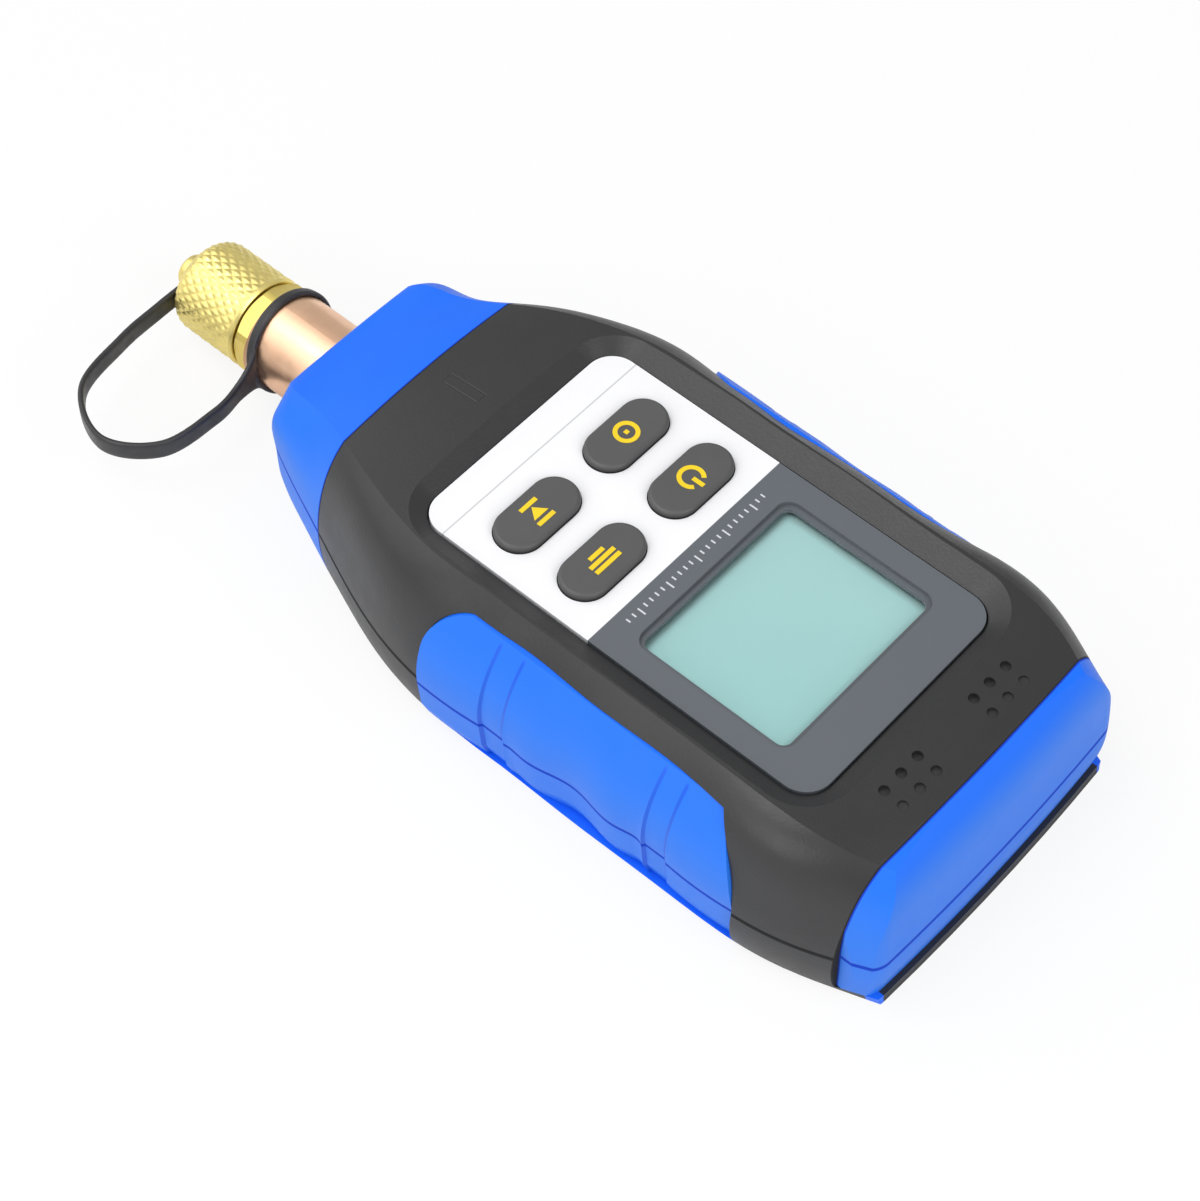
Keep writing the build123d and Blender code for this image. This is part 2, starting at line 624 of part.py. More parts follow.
switch_top_z = board_top_z + SWITCH_HEIGHT
mat_y = sum(KEY_ROWS) / 2
mat_size = (2 * KEY_X + KEY_LENGTH + 3, KEY_ROWS[1] - KEY_ROWS[0] + KEY_WIDTH + 4)
with BuildPart() as keypad_mat:
    add(frame_block(mat_size, 3.0, mat_y, board_top_z, mat_pad_z - MAT_PAD))
    hollow = [size - 2 * MAT_WALL for size in mat_size]
    mat_roof_z = mat_pad_z - MAT_PAD - MAT_THICKNESS
    add(frame_block(hollow, 2.0, mat_y, board_top_z, mat_roof_z), mode=Mode.SUBTRACT)
    with BuildSketch(Plane.XY.offset(mat_pad_z - MAT_PAD)):
        with Locations(*key_places()):
            SlotOverall(KEY_LENGTH / 2 + 1, KEY_WIDTH / 2 + 1)
    extrude(amount=MAT_PAD)
    with BuildSketch(Plane.XY.offset(switch_top_z)):
        with Locations(*key_places()):
            Circle(SWITCH_PLUNGER)
    extrude(amount=mat_roof_z - switch_top_z)
save(keypad_mat.part, "keypad_mat")

with BuildPart() as key_switches:
    with BuildSketch(Plane.XY.offset(board_top_z)):
        with Locations(*key_places()):
            Rectangle(SWITCH_SIZE, SWITCH_SIZE)
    extrude(amount=SWITCH_HEIGHT - 1)
    with BuildSketch(Plane.XY.offset(board_top_z)):
        with Locations(*key_places()):
            Circle(SWITCH_PLUNGER)
    extrude(amount=SWITCH_HEIGHT)
save(key_switches.part, "key_switches")

with BuildPart() as main_board:
    with BuildSketch(Plane.XY.offset(BOARD_Z)):
        with BuildLine():
            Polyline(*BOARD_OUTLINE, *[(-x, y) for x, y in reversed(BOARD_OUTLINE)], close=True)
        make_face()
        with Locations(*SCREW_PLACES):
            Circle(BOSS_RADIUS + 1, mode=Mode.SUBTRACT)
    extrude(amount=BOARD_THICKNESS)
save(main_board.part, "main_board")

# Battery bay: door, its screw, cells and sheet-metal contacts
with BuildPart() as battery_door:
    add(frame_block(DOOR_SIZE, DOOR_CORNER, DOOR_Y, 0, DOOR_THICKNESS))
    with BuildSketch(Plane.XY.offset(DOOR_THICKNESS)):
        with Locations((0, DOOR_Y)):
            with GridLocations(0, 16, 1, 3):
                Rectangle(BAY_SIZE[0] - 8, 1.2)
    extrude(amount=CELL_Z - CELL_RADIUS - DOOR_THICKNESS - 0.1)
    with Locations(Location((*DOOR_SCREW, 0), (180, 0, 0))):
        CounterBoreHole(DOOR_SCREW_RADIUS, DOOR_SCREW_HEAD, DOOR_THICKNESS - 0.6)
    with BuildSketch(Plane.XY):
        with Locations((0, DOOR_Y + DOOR_SIZE[1] / 2 - 8)):
            with GridLocations(0, 2.4, 1, 4):
                SlotOverall(14, 1.0)
    extrude(amount=0.5, mode=Mode.SUBTRACT)
save(battery_door.part, "battery_door")

with BuildPart() as battery_door_screw:
    with BuildSketch(Plane.XY.offset(0.2)):
        with Locations(DOOR_SCREW):
            Circle(DOOR_SCREW_HEAD - 0.1)
    extrude(amount=DOOR_THICKNESS - 0.6 - 0.2)
    with BuildSketch(Plane.XY.offset(0.2)):
        with Locations(DOOR_SCREW):
            Circle(DOOR_SCREW_RADIUS)
    extrude(amount=DOOR_SCREW_TIP_Z - 0.2)
save(battery_door_screw.part, "battery_door_screw")

for number in range(CELL_COUNT):
    cell_x = (number - (CELL_COUNT - 1) / 2) * CELL_PITCH
    facing = 1 if number % 2 == 0 else -1
    start = Plane(
        origin=(cell_x, CELL_Y - facing * CELL_LENGTH / 2, CELL_Z), x_dir=(1, 0, 0), z_dir=(0, facing, 0)
    )
    with BuildPart() as cell:
        with BuildSketch(start):
            Circle(CELL_RADIUS)
        extrude(amount=CELL_LENGTH - CELL_NUB)
        fillet(cell.edges().filter_by(GeomType.CIRCLE), 0.5)
        with BuildSketch(start):
            Circle(CELL_NUB_RADIUS)
        extrude(amount=CELL_LENGTH)
    save(cell.part, f"battery_{number + 1}")

with BuildPart() as battery_contacts:
    for end in (-1, 1):
        for number in range(CELL_COUNT):
            cell_x = (number - (CELL_COUNT - 1) / 2) * CELL_PITCH
            wall_y = CELL_Y + end * (BAY_SIZE[1] / 2 - CONTACT_SHEET / 2)
            cell_end_y = CELL_Y + end * (CELL_LENGTH / 2 + CONTACT_SHEET / 2 + 0.05)
            with BuildSketch(Plane.XY.offset(CELL_Z - CONTACT_WIDTH / 2)):
                with BuildLine():
                    Polyline(
                        (cell_x - CONTACT_WIDTH / 2, wall_y),
                        (cell_x - 1.0, cell_end_y),
                        (cell_x + 1.0, cell_end_y),
                        (cell_x + CONTACT_WIDTH / 2, wall_y),
                    )
                trace(line_width=CONTACT_SHEET)
            extrude(amount=CONTACT_WIDTH)
save(battery_contacts.part, "battery_contacts")

with BuildPart() as case_screws:
    with BuildSketch(Plane.XY.offset(SCREW_SEAT_Z - SCREW_HEAD_HEIGHT)):
        with Locations(*SCREW_PLACES):
            Circle(SCREW_HEAD_RADIUS)
    extrude(amount=SCREW_HEAD_HEIGHT)
    with BuildSketch(Plane.XY.offset(SCREW_SEAT_Z)):
        with Locations(*SCREW_PLACES):
            Circle(SCREW_RADIUS)
    extrude(amount=SCREW_TIP_Z - 0.3 - SCREW_SEAT_Z)
save(case_screws.part, "case_screws")

# Port tube: necked down where it enters the nose, closed inside by the sensor's header
with BuildPart() as copper_tube:
    with BuildSketch(Plane.YZ):
        with BuildLine():
            Polyline(
                (TUBE_Y[0], PORT_Z + TUBE_RADIUS - TUBE_WALL),
                (TUBE_Y[0], PORT_Z + TUBE_RADIUS),
                (NOSE_END_Y, PORT_Z + TUBE_RADIUS),
                (NOSE_END_Y, PORT_Z + TUBE_NECK_RADIUS),
                (TUBE_Y[1], PORT_Z + TUBE_NECK_RADIUS),
                (TUBE_Y[1], PORT_Z + TUBE_NECK_RADIUS - TUBE_WALL),
                (NOSE_END_Y - TUBE_WALL, PORT_Z + TUBE_NECK_RADIUS - TUBE_WALL),
                (NOSE_END_Y - TUBE_WALL, PORT_Z + TUBE_RADIUS - TUBE_WALL),
                close=True,
            )
        make_face()
    revolve(axis=PORT_AXIS)
save(copper_tube.part, "copper_tube")

with BuildPart() as tube_seal:
    with BuildSketch(port_plane(SEAL_Y[1])):
        Circle(SEAL_RADIUS)
        Circle(TUBE_NECK_RADIUS, mode=Mode.SUBTRACT)
    extrude(amount=SEAL_Y[1] - SEAL_Y[0])
save(tube_seal.part, "tube_seal")

with BuildPart() as sensor_header:
    with BuildSketch(port_plane(TUBE_Y[1])):
        Circle(TUBE_NECK_RADIUS - TUBE_WALL)
    extrude(amount=HEADER_THICKNESS)
    with BuildSketch(port_plane(TUBE_Y[1] + PIN_LENGTH)):
        with GridLocations(3.0, 0, 2, 1):
            Circle(PIN_RADIUS)
    extrude(amount=PIN_LENGTH)
save(sensor_header.part, "sensor_header")

header_face_y = TUBE_Y[1] - HEADER_THICKNESS
with BuildPart() as sensor_element:
    with BuildSketch(port_plane(header_face_y)):
        with GridLocations(3.0, 0, 2, 1):
            Circle(PIN_RADIUS)
    extrude(amount=PIN_LENGTH)
    with BuildSketch(port_plane(header_face_y - PIN_LENGTH)):
        SlotOverall(5.0, 1.6)
    extrude(amount=1.6)
save(sensor_element.part, "sensor_element")

# Flare fitting: spigot in the tube, neck for the tether, hexagon and the threaded flare
with BuildPart() as port_fitting:
    with BuildSketch(port_plane(TUBE_Y[0] + SPIGOT_LENGTH)):
        Circle(TUBE_RADIUS - TUBE_WALL)
    extrude(amount=SPIGOT_LENGTH)
    with BuildSketch(port_plane(TUBE_Y[0])):
        RegularPolygon(HEX_FLATS / 2, 6, major_radius=False, rotation=30)
    extrude(amount=HEX_LENGTH)
    with BuildSketch(Plane.YZ):
        with BuildLine():
            Polyline(
                (TUBE_Y[0] + SPIGOT_LENGTH, PORT_Z),
                (TUBE_Y[0] + SPIGOT_LENGTH, PORT_Z + TUBE_RADIUS),
                (TUBE_Y[0] - HEX_ROUND, PORT_Z + TUBE_RADIUS),
                (HEX_END_Y + HEX_ROUND, PORT_Z + TUBE_RADIUS),
                (HEX_END_Y, PORT_Z + HEX_FLATS / 2),
                (HEX_END_Y, PORT_Z),
                close=True,
            )
        make_face()
    revolve(axis=PORT_AXIS, mode=Mode.INTERSECT)
    with BuildSketch(Plane.YZ):
        with BuildLine():
            Polyline(
                (HEX_END_Y, PORT_Z),
                (HEX_END_Y, PORT_Z + FLARE_RADIUS),
                (HEX_END_Y - FLARE_LENGTH + FLARE_RADIUS / 2, PORT_Z + FLARE_RADIUS),
                (HEX_END_Y - FLARE_LENGTH, PORT_Z + FLARE_RADIUS / 2),
                (HEX_END_Y - FLARE_LENGTH, PORT_Z),
                close=True,
            )
        make_face()
    revolve(axis=PORT_AXIS)
    with BuildSketch(port_plane(TUBE_Y[0] + SPIGOT_LENGTH)):
        Circle(FLARE_BORE)
    extrude(amount=HUGE, mode=Mode.SUBTRACT)
save(port_fitting.part, "port_fitting")

# Cap: rounded head, blind bore, and a knob that holds the tether's small ring
with BuildPart() as port_cap:
    with BuildSketch(Plane.YZ):
        with BuildLine():
            Polyline(
                (CAP_Y[1], PORT_Z),
                (CAP_Y[1], PORT_Z + CAP_RADIUS - 0.4),
                (CAP_Y[1] - 0.4, PORT_Z + CAP_RADIUS),
                (CAP_Y[0] + CAP_ROUND, PORT_Z + CAP_RADIUS),
            )
            RadiusArc(
                (CAP_Y[0] + CAP_ROUND, PORT_Z + CAP_RADIUS),
                (CAP_Y[0], PORT_Z + CAP_RADIUS - CAP_ROUND),
                -CAP_ROUND,
            )
            Polyline(
                (CAP_Y[0], PORT_Z + CAP_RADIUS - CAP_ROUND),
                (CAP_Y[0], PORT_Z + KNOB_NECK_RADIUS),
                (KNOB_TIP_Y + KNOB_HEAD, PORT_Z + KNOB_NECK_RADIUS),
                (KNOB_TIP_Y + KNOB_HEAD, PORT_Z + KNOB_RADIUS),
                (KNOB_TIP_Y + 0.6, PORT_Z + KNOB_RADIUS),
                (KNOB_TIP_Y, PORT_Z + KNOB_RADIUS - 0.8),
                (KNOB_TIP_Y, PORT_Z),
                (CAP_Y[1], PORT_Z),
            )
        make_face()
    revolve(axis=PORT_AXIS)
    with BuildSketch(port_plane(CAP_Y[1])):
        Circle(CAP_BORE)
    extrude(amount=CAP_BORE_DEPTH, mode=Mode.SUBTRACT)
save(port_cap.part, "port_cap")

with BuildPart() as cap_seal:
    with BuildSketch(port_plane(CAP_Y[1] - CAP_BORE_DEPTH + CAP_SEAL)):
        Circle(CAP_BORE - 0.1)
    extrude(amount=CAP_SEAL)
save(cap_seal.part, "cap_seal")

# Tether: one moulding with a ring on the tube, a flat band and a ring on the knob
knob_ring_y = (CAP_Y[0] + KNOB_TIP_Y + KNOB_HEAD) / 2
lean = math.radians(RING_LEAN)
ring_plane = Plane(
    origin=(0, RING_MIDDLE_Y, PORT_Z), x_dir=(1, 0, 0), z_dir=(0, -math.cos(lean), -math.sin(lean))
)
with BuildPart() as cap_strap:
    with BuildSketch(ring_plane):
        Circle(RING_RADIUS)
    extrude(amount=RING_WIDTH / 2, both=True)
    with BuildSketch(ring_plane):
        Circle(RING_RADIUS - 0.3)
        with Locations((STRAP_WEB, -STRAP_SAG)):
            Rectangle(0.4, STRAP_WIDTH)
        make_hull()
    extrude(amount=STRAP_THICKNESS / 2, both=True)
    with BuildSketch(Plane.XY.offset(PORT_Z - STRAP_SAG - STRAP_WIDTH / 2)):
        with BuildLine():
            Spline(
                (RING_RADIUS - 0.4, RING_MIDDLE_Y + 0.2),
                *STRAP_PATH,
                (KNOB_RING_RADIUS - 0.4, knob_ring_y),
                tangents=((1, 0.1), (-1, 0)),
            )
        trace(line_width=STRAP_THICKNESS)
    extrude(amount=STRAP_WIDTH)
    with BuildSketch(port_plane(knob_ring_y + STRAP_THICKNESS / 2)):
        Circle(KNOB_RING_RADIUS)
    extrude(amount=STRAP_THICKNESS)
    with BuildSketch(port_plane(TUBE_Y[0] + 2 * RING_RADIUS)):
        Circle(TUBE_RADIUS + STRAP_PLAY)
    extrude(amount=3 * RING_RADIUS, mode=Mode.SUBTRACT)
    with BuildSketch(port_plane(knob_ring_y + STRAP_THICKNESS)):
        Circle(KNOB_NECK_RADIUS + STRAP_PLAY)
    extrude(amount=2 * STRAP_THICKNESS, mode=Mode.SUBTRACT)
save(cap_strap.part, "cap_strap")
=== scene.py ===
"""Looks of a handheld digital vacuum gauge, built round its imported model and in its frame.

Blender works in metres. Sizes here are in millimetres, except for the lamps and the floor's reach.
"""

import functools
import json
import logging
import math
from dataclasses import dataclass, field
from enum import Enum

import bmesh
import bpy
from mathutils import Matrix, Vector

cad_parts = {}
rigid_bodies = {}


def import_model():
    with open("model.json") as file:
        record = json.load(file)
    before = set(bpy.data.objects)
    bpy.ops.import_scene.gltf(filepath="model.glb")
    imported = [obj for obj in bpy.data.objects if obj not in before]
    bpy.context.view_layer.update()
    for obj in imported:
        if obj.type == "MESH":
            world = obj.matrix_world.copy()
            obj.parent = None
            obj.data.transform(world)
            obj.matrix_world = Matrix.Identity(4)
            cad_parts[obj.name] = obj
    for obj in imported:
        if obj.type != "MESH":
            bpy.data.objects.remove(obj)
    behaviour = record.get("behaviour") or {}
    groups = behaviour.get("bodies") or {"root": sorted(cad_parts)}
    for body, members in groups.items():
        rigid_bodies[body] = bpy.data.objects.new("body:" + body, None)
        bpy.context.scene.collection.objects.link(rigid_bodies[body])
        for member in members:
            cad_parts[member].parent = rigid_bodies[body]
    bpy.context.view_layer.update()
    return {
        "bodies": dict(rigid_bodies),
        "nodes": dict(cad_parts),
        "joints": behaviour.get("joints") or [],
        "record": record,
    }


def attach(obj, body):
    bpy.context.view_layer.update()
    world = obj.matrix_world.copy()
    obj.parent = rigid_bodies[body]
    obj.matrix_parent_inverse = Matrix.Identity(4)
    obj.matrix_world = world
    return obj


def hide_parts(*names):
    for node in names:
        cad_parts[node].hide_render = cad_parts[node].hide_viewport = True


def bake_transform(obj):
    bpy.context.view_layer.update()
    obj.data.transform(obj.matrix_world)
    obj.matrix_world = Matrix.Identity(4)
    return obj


log = logging.getLogger("vacuum_gauge")

MM = 0.001
PHOTO_SIZE = (1200, 1201)

# Places that more than one finish or piece uses.
PARTING_Z = 10.7
NOSE_BORDER_Y = -47.0
TAIL_BORDER_Y = 59.2
TAIL_BORDER_BOW = 1.2
TAIL_HALF_WIDTH = 29.5
GRIP_Y = (-17.1, 42.6)
GRIP_STEPS_Y = (-4.9, -0.5, 26.1, 30.1)
GRIP_FOOT_X = 30.4
TAIL_FOOT_X = 25.4
TAIL_FOOT_Y = 62.0
FOOT_Z = 1.6
PORT_Z = 9.0
KEY_TOP_Z = 28.9

# Usual softness of a mask's edge, and the parts of a noise's range that give its extremes.
EDGE = 0.2
NOISE_RANGE = (0.3, 0.7)
WIDE_NOISE_RANGE = (0.25, 0.75)

# Points closer than this are one point. Metres, as in the mesh.
SAME_POINT = 1e-7

Pair = tuple[float, float]
Point = tuple[float, float, float]
Colour = tuple[float, float, float]
Outline = list[Pair]


def linear(hexcode: str) -> Colour:
    """Turn a screen colour into the linear colour that the renderer works in.

    Args:
        hexcode: Six hexadecimal digits, as a colour picker gives them.

    Returns:
        Red, green and blue in linear light.
    """
    channels = (int(hexcode[i : i + 2], 16) / 255 for i in (0, 2, 4))
    return tuple(c / 12.92 if c <= 0.04045 else ((c + 0.055) / 1.055) ** 2.4 for c in channels)


def shade(colour: Colour, share: float) -> Colour:
    """Darken or lighten a colour."""
    return tuple(min(1.0, c * share) for c in colour)


def middle_and_half(span: Pair) -> Pair:
    """Give the middle of a span and half its length."""
    return (span[0] + span[1]) / 2, (span[1] - span[0]) / 2


class Maths(Enum):
    """Operations of a Math node."""

    ADD = "ADD"
    SUBTRACT = "SUBTRACT"
    MULTIPLY = "MULTIPLY"
    DIVIDE = "DIVIDE"
    LEAST = "MINIMUM"
    MOST = "MAXIMUM"
    SIZE = "ABSOLUTE"
    FRACTION = "FRACT"
    SINE = "SINE"
    COSINE = "COSINE"
    ANGLE = "ARCTAN2"


@dataclass
class Signal:
    """A value on its way through a node tree. Operators on it add their own Math nodes."""

    tree: bpy.types.NodeTree
    socket: bpy.types.NodeSocket

    def maths(self, operation: Maths, *others: "Signal | float") -> "Signal":
        """Add a Math node.

        Args:
            operation: What the node does.
            others: The other operands, after this one.

        Returns:
            The node's result.
        """
        node = self.tree.nodes.new("ShaderNodeMath")
        node.operation = operation.value
        for socket, value in zip(node.inputs, (self, *others)):
            feed(self.tree, socket, value)
        return Signal(self.tree, node.outputs[0])

    def __add__(self, other: "Signal | float") -> "Signal":
        """Add."""
        return self.maths(Maths.ADD, other)

    def __radd__(self, other: float) -> "Signal":
        """Add, from the right."""
        return self.maths(Maths.ADD, other)

    def __sub__(self, other: "Signal | float") -> "Signal":
        """Subtract."""
        return self.maths(Maths.SUBTRACT, other)

    def __rsub__(self, other: float) -> "Signal":
        """Subtract this from a number."""
        return self.maths(Maths.MULTIPLY, -1.0).maths(Maths.ADD, other)

    def __mul__(self, other: "Signal | float") -> "Signal":
        """Multiply."""
        return self.maths(Maths.MULTIPLY, other)

    def __rmul__(self, other: float) -> "Signal":
        """Multiply, from the right."""
        return self.maths(Maths.MULTIPLY, other)

    def __truediv__(self, other: "Signal | float") -> "Signal":
        """Divide."""
        return self.maths(Maths.DIVIDE, other)

    def __abs__(self) -> "Signal":
        """Take the size without its sign."""
        return self.maths(Maths.SIZE)

    def least(self, other: "Signal | float") -> "Signal":
        """Take the lesser of two."""
        return self.maths(Maths.LEAST, other)

    def most(self, other: "Signal | float") -> "Signal":
        """Take the greater of two."""
        return self.maths(Maths.MOST, other)

    def wave(self) -> "Signal":
        """Fold into a zigzag that is 1 at whole numbers and 0 halfway between them."""
        return abs(self.maths(Maths.FRACTION) - 0.5) * 2.0

    def ramp(self, low: float, high: float, start: float = 0.0, end: float = 1.0) -> "Signal":
        """Map a range smoothly onto another.

        Args:
            low: Value that gives start.
            high: Value that gives end.
            start: Result at and before low.
            end: Result at and past high.

        Returns:
            The mapped number.
        """
        node = self.tree.nodes.new("ShaderNodeMapRange")
        node.interpolation_type = "SMOOTHSTEP"
        for name, value in (("From Min", low), ("From Max", high), ("To Min", start), ("To Max", end)):
            node.inputs[name].default_value = value
        feed(self.tree, node.inputs["Value"], self)
        return Signal(self.tree, node.outputs[0])

    def past(self, place: float, soft: float = EDGE) -> "Signal":
        """Make a mask that turns from 0 to 1 at a place."""
        return self.ramp(place, place + soft)

    def short_of(self, place: float, soft: float = EDGE) -> "Signal":
        """Make a mask that turns from 1 to 0 at a place."""
        return self.ramp(place, place + soft, 1.0, 0.0)

    def band(self, width: float, soft: float = 0.08) -> "Signal":
        """Make a mask that is 1 where this is within half a width of zero."""
        return abs(self).ramp(width / 2 - soft, width / 2 + soft, 1.0, 0.0)

    def near(self, place: float, width: float) -> "Signal":
        """Make a mask that is 1 in a narrow line at a place."""
        return (self - place).band(width)


def feed(tree: bpy.types.NodeTree, socket: bpy.types.NodeSocket, value: object) -> None:
    """Link a signal to a socket, or write a plain value on it.

    Args:
        tree: The tree of both.
        socket: The socket to fill.
        value: A signal, a number, a vector, a colour or a material.
    """
    if isinstance(value, Signal):
        tree.links.new(value.socket, socket)
    elif isinstance(value, tuple) and len(value) == 3 and socket.type == "RGBA":
        socket.default_value = (*value, 1.0)
    else:
        socket.default_value = value


@dataclass
class Graph:
    """A node tree that is being written."""

    tree: bpy.types.NodeTree

    def add(
        self,
        kind: str,
        settings: dict[str, object] | None = None,
        inputs: dict[str | int, object] | None = None,
        output: str | int = 0,
    ) -> Signal:
        """Add any node.

        Args:
            kind: Type of the node.
            settings: Its properties, set first.
            inputs: Values or links of its sockets.
            output: The output to hand back.

        Returns:
            That output.
        """
        node = self.tree.nodes.new(kind)
        for name, value in (settings or {}).items():
            setattr(node, name, value)
        for name, value in (inputs or {}).items():
            feed(self.tree, node.inputs[name], value)
        return Signal(self.tree, node.outputs[output])

    def end(self, kind: str, result: Signal) -> None:
        """Link the tree's result to a new output node."""
        feed(self.tree, self.tree.nodes.new(kind).inputs[0], result)

    def split(self, vector: Signal) -> tuple[Signal, Signal, Signal]:
        """Take a vector apart.

        Args:
            vector: The vector.

        Returns:
            Its x, y and z.
        """
        node = self.tree.nodes.new("ShaderNodeSeparateXYZ")
        feed(self.tree, node.inputs[0], vector)
        return tuple(Signal(self.tree, out) for out in node.outputs)

    def place(self) -> tuple[Signal, Signal, Signal]:
        """Read the point's place on the object, in millimetres."""
        here = self.add("ShaderNodeTexCoord", output="Object")
        return tuple(part * (1 / MM) for part in self.split(here))

    def noise(self, size: float, detail: float = 2.0, stretch: Point = (1.0, 1.0, 1.0)) -> Signal:
        """Add noise on the object's own coordinates.

        Args:
            size: Width of its grain in millimetres.
            detail: How many finer layers it has.
            stretch: How much denser it is along each axis.

        Returns:
            A number from 0 to 1.
        """
        here = self.add("ShaderNodeTexCoord", output="Object")
        spread = self.add("ShaderNodeMapping", inputs={"Vector": here, "Scale": stretch})
        inputs = {"Vector": spread, "Scale": 1 / (size * MM), "Detail": detail}
        return self.add("ShaderNodeTexNoise", inputs=inputs)

    def mix(self, factor: Signal, first: object, second: object) -> Signal:
        """Mix two colours.

        Args:
            factor: How much of the second there is.
            first: Colour or signal.
            second: Colour or signal.

        Returns:
            The mixed colour.
        """
        inputs = {0: factor, 6: first, 7: second}
        return self.add("ShaderNodeMix", {"data_type": "RGBA"}, inputs, 2)


def blank(owner: bpy.types.Material | bpy.types.World) -> Graph:
    """Empty the node tree of a material or world.

    Args:
        owner: What the tree belongs to.

    Returns:
        The empty tree, ready to be written.
    """
    owner.use_nodes = True
    owner.node_tree.nodes.clear()
    return Graph(owner.node_tree)


@dataclass(frozen=True)
class Finish:
    """A finish with a fine grain and a slight change of tone. Other finishes build on it."""

    name: str
    colour: Colour
    roughness: float = 0.5
    metallic: float = 0.0
    gloss: float = 0.5
    coat: float = 0.0
    grain: float = 0.35
    relief: float = 0.004
    tone: float = 0.06
    wander: float = 0.06
    tone_patch: float = 6.0
    wander_patch: float = 2.5
    layers: float = 3.0

    def paint(self, graph: Graph) -> Signal:
        """Give the colour, a little darker and lighter over the surface.

        Args:
            graph: The material's tree.

        Returns:
            The colour.
        """
        dark, light = shade(self.colour, 1 - self.tone), shade(self.colour, 1 + self.tone)
        return graph.mix(graph.noise(self.tone_patch, self.layers).ramp(*NOISE_RANGE), dark, light)

    def dull(self, graph: Graph) -> Signal:
        """Give the roughness."""
        low, high = self.roughness - self.wander, self.roughness + self.wander
        return graph.noise(self.wander_patch, self.layers).ramp(*WIDE_NOISE_RANGE, low, high)

    def height(self, graph: Graph) -> Signal:
        """Give the fine relief in millimetres."""
        return graph.noise(self.grain) * self.relief

    def surface(self, graph: Graph) -> Signal:
        """Put the colour, the roughness and the relief into one shader.

        Args:
            graph: The material's tree.

        Returns:
            The shader that the material ends in.
        """
        bump = graph.add("ShaderNodeBump", inputs={"Distance": MM, "Height": self.height(graph)})
        inputs = {
            "Base Color": self.paint(graph),
            "Roughness": self.dull(graph),
            "Metallic": self.metallic,
            "Specular IOR Level": self.gloss,
            "Coat Weight": self.coat,
            "Normal": bump,
        }
        return graph.add("ShaderNodeBsdfPrincipled", inputs=inputs)

    def material(self) -> bpy.types.Material:
        """Build the material.

        Returns:
            A node material.
        """
        material = bpy.data.materials.new(self.name)
        graph = blank(material)
        graph.end("ShaderNodeOutputMaterial", self.surface(graph))
        material.diffuse_color = (*self.colour, 1.0)
        return material


@dataclass(frozen=True)
class Moulding(Finish):
    """Moulded housing plastic, with the lines where its halves and covers meet."""

    line_colour: Colour = (0.01, 0.01, 0.01)
    line_width: float = 0.4
    line_depth: float = 0.06
    line_dullness: float = 0.5
    parting_width: float = 0.8

    def lines(self, graph: Graph) -> Signal:
        """Mask the parting line and the covers' borders.

        Args:
            graph: The material's tree.

        Returns:
            1 on a line and 0 elsewhere.
        """
        x, y, z = graph.place()
        bow = x * x * (TAIL_BORDER_BOW / TAIL_HALF_WIDTH**2)
        tail = (y + bow).near(TAIL_BORDER_Y, self.line_width) * z.past(FOOT_Z - EDGE)
        nose = y.near(NOSE_BORDER_Y, self.line_width)
        return z.near(PARTING_Z, self.parting_width).most(nose).most(tail)

    def ground(self, graph: Graph) -> Signal:
        """Give the colour between the lines."""
        return super().paint(graph)

    def paint(self, graph: Graph) -> Signal:
        """Darken the lines."""
        return graph.mix(self.lines(graph), self.ground(graph), self.line_colour)

    def dull(self, graph: Graph) -> Signal:
        """Leave no gloss in the lines."""
        return super().dull(graph) + self.lines(graph) * self.line_dullness

    def height(self, graph: Graph) -> Signal:
        """Sink the lines."""
        return super().height(graph) - self.lines(graph) * self.line_depth


@dataclass(frozen=True)
class ShellPlastic(Moulding):
    """Black shell, with an outline pressed into its slope. The covers are moulded round its foot."""

    cover_colour: Colour = linear("156df4")
    pointer_y: Pair = (-42.9, -35.8)
    pointer_width: float = 2.0
    pointer_line: float = 0.2
    pointer_shade: float = 0.2
    pointer_depth: float = 0.05

    def pointer(self, graph: Graph) -> Signal:
        """Mask the narrow outline pressed into the slope towards the port.

        Args:
            graph: The material's tree.

        Returns:
            1 on the outline and 0 elsewhere.
        """
        x, y, z = graph.place()
        middle, half = middle_and_half(self.pointer_y)
        inside = (abs(x) - self.pointer_width / 2).most(abs(y - middle) - half)
        return inside.band(self.pointer_line) * z.past(PARTING_Z, 1.0)

    def wrap(self, graph: Graph) -> Signal:
        """Mask the foot's rim where the covers are moulded round it.

        Args:
            graph: The material's tree.

        Returns:
            1 under a grip and at the tail's corners, and 0 elsewhere.
        """
        x, y, z = graph.place()
        middle, half = middle_and_half(GRIP_Y)
        grip = abs(y - middle).short_of(half - EDGE / 2) * abs(x).past(GRIP_FOOT_X)
        corner = y.past(TAIL_FOOT_Y) * abs(x).past(TAIL_FOOT_X)
        return z.short_of(FOOT_Z) * grip.most(corner)

    def ground(self, graph: Graph) -> Signal:
        """Give the rim its cover's colour, and darken the outline."""
        base = graph.mix(self.wrap(graph), super().ground(graph), self.cover_colour)
        return graph.mix(self.pointer(graph) * self.pointer_shade, base, self.line_colour)

    def height(self, graph: Graph) -> Signal:
        """Sink the outline."""
        return super().height(graph) - self.pointer(graph) * self.pointer_depth


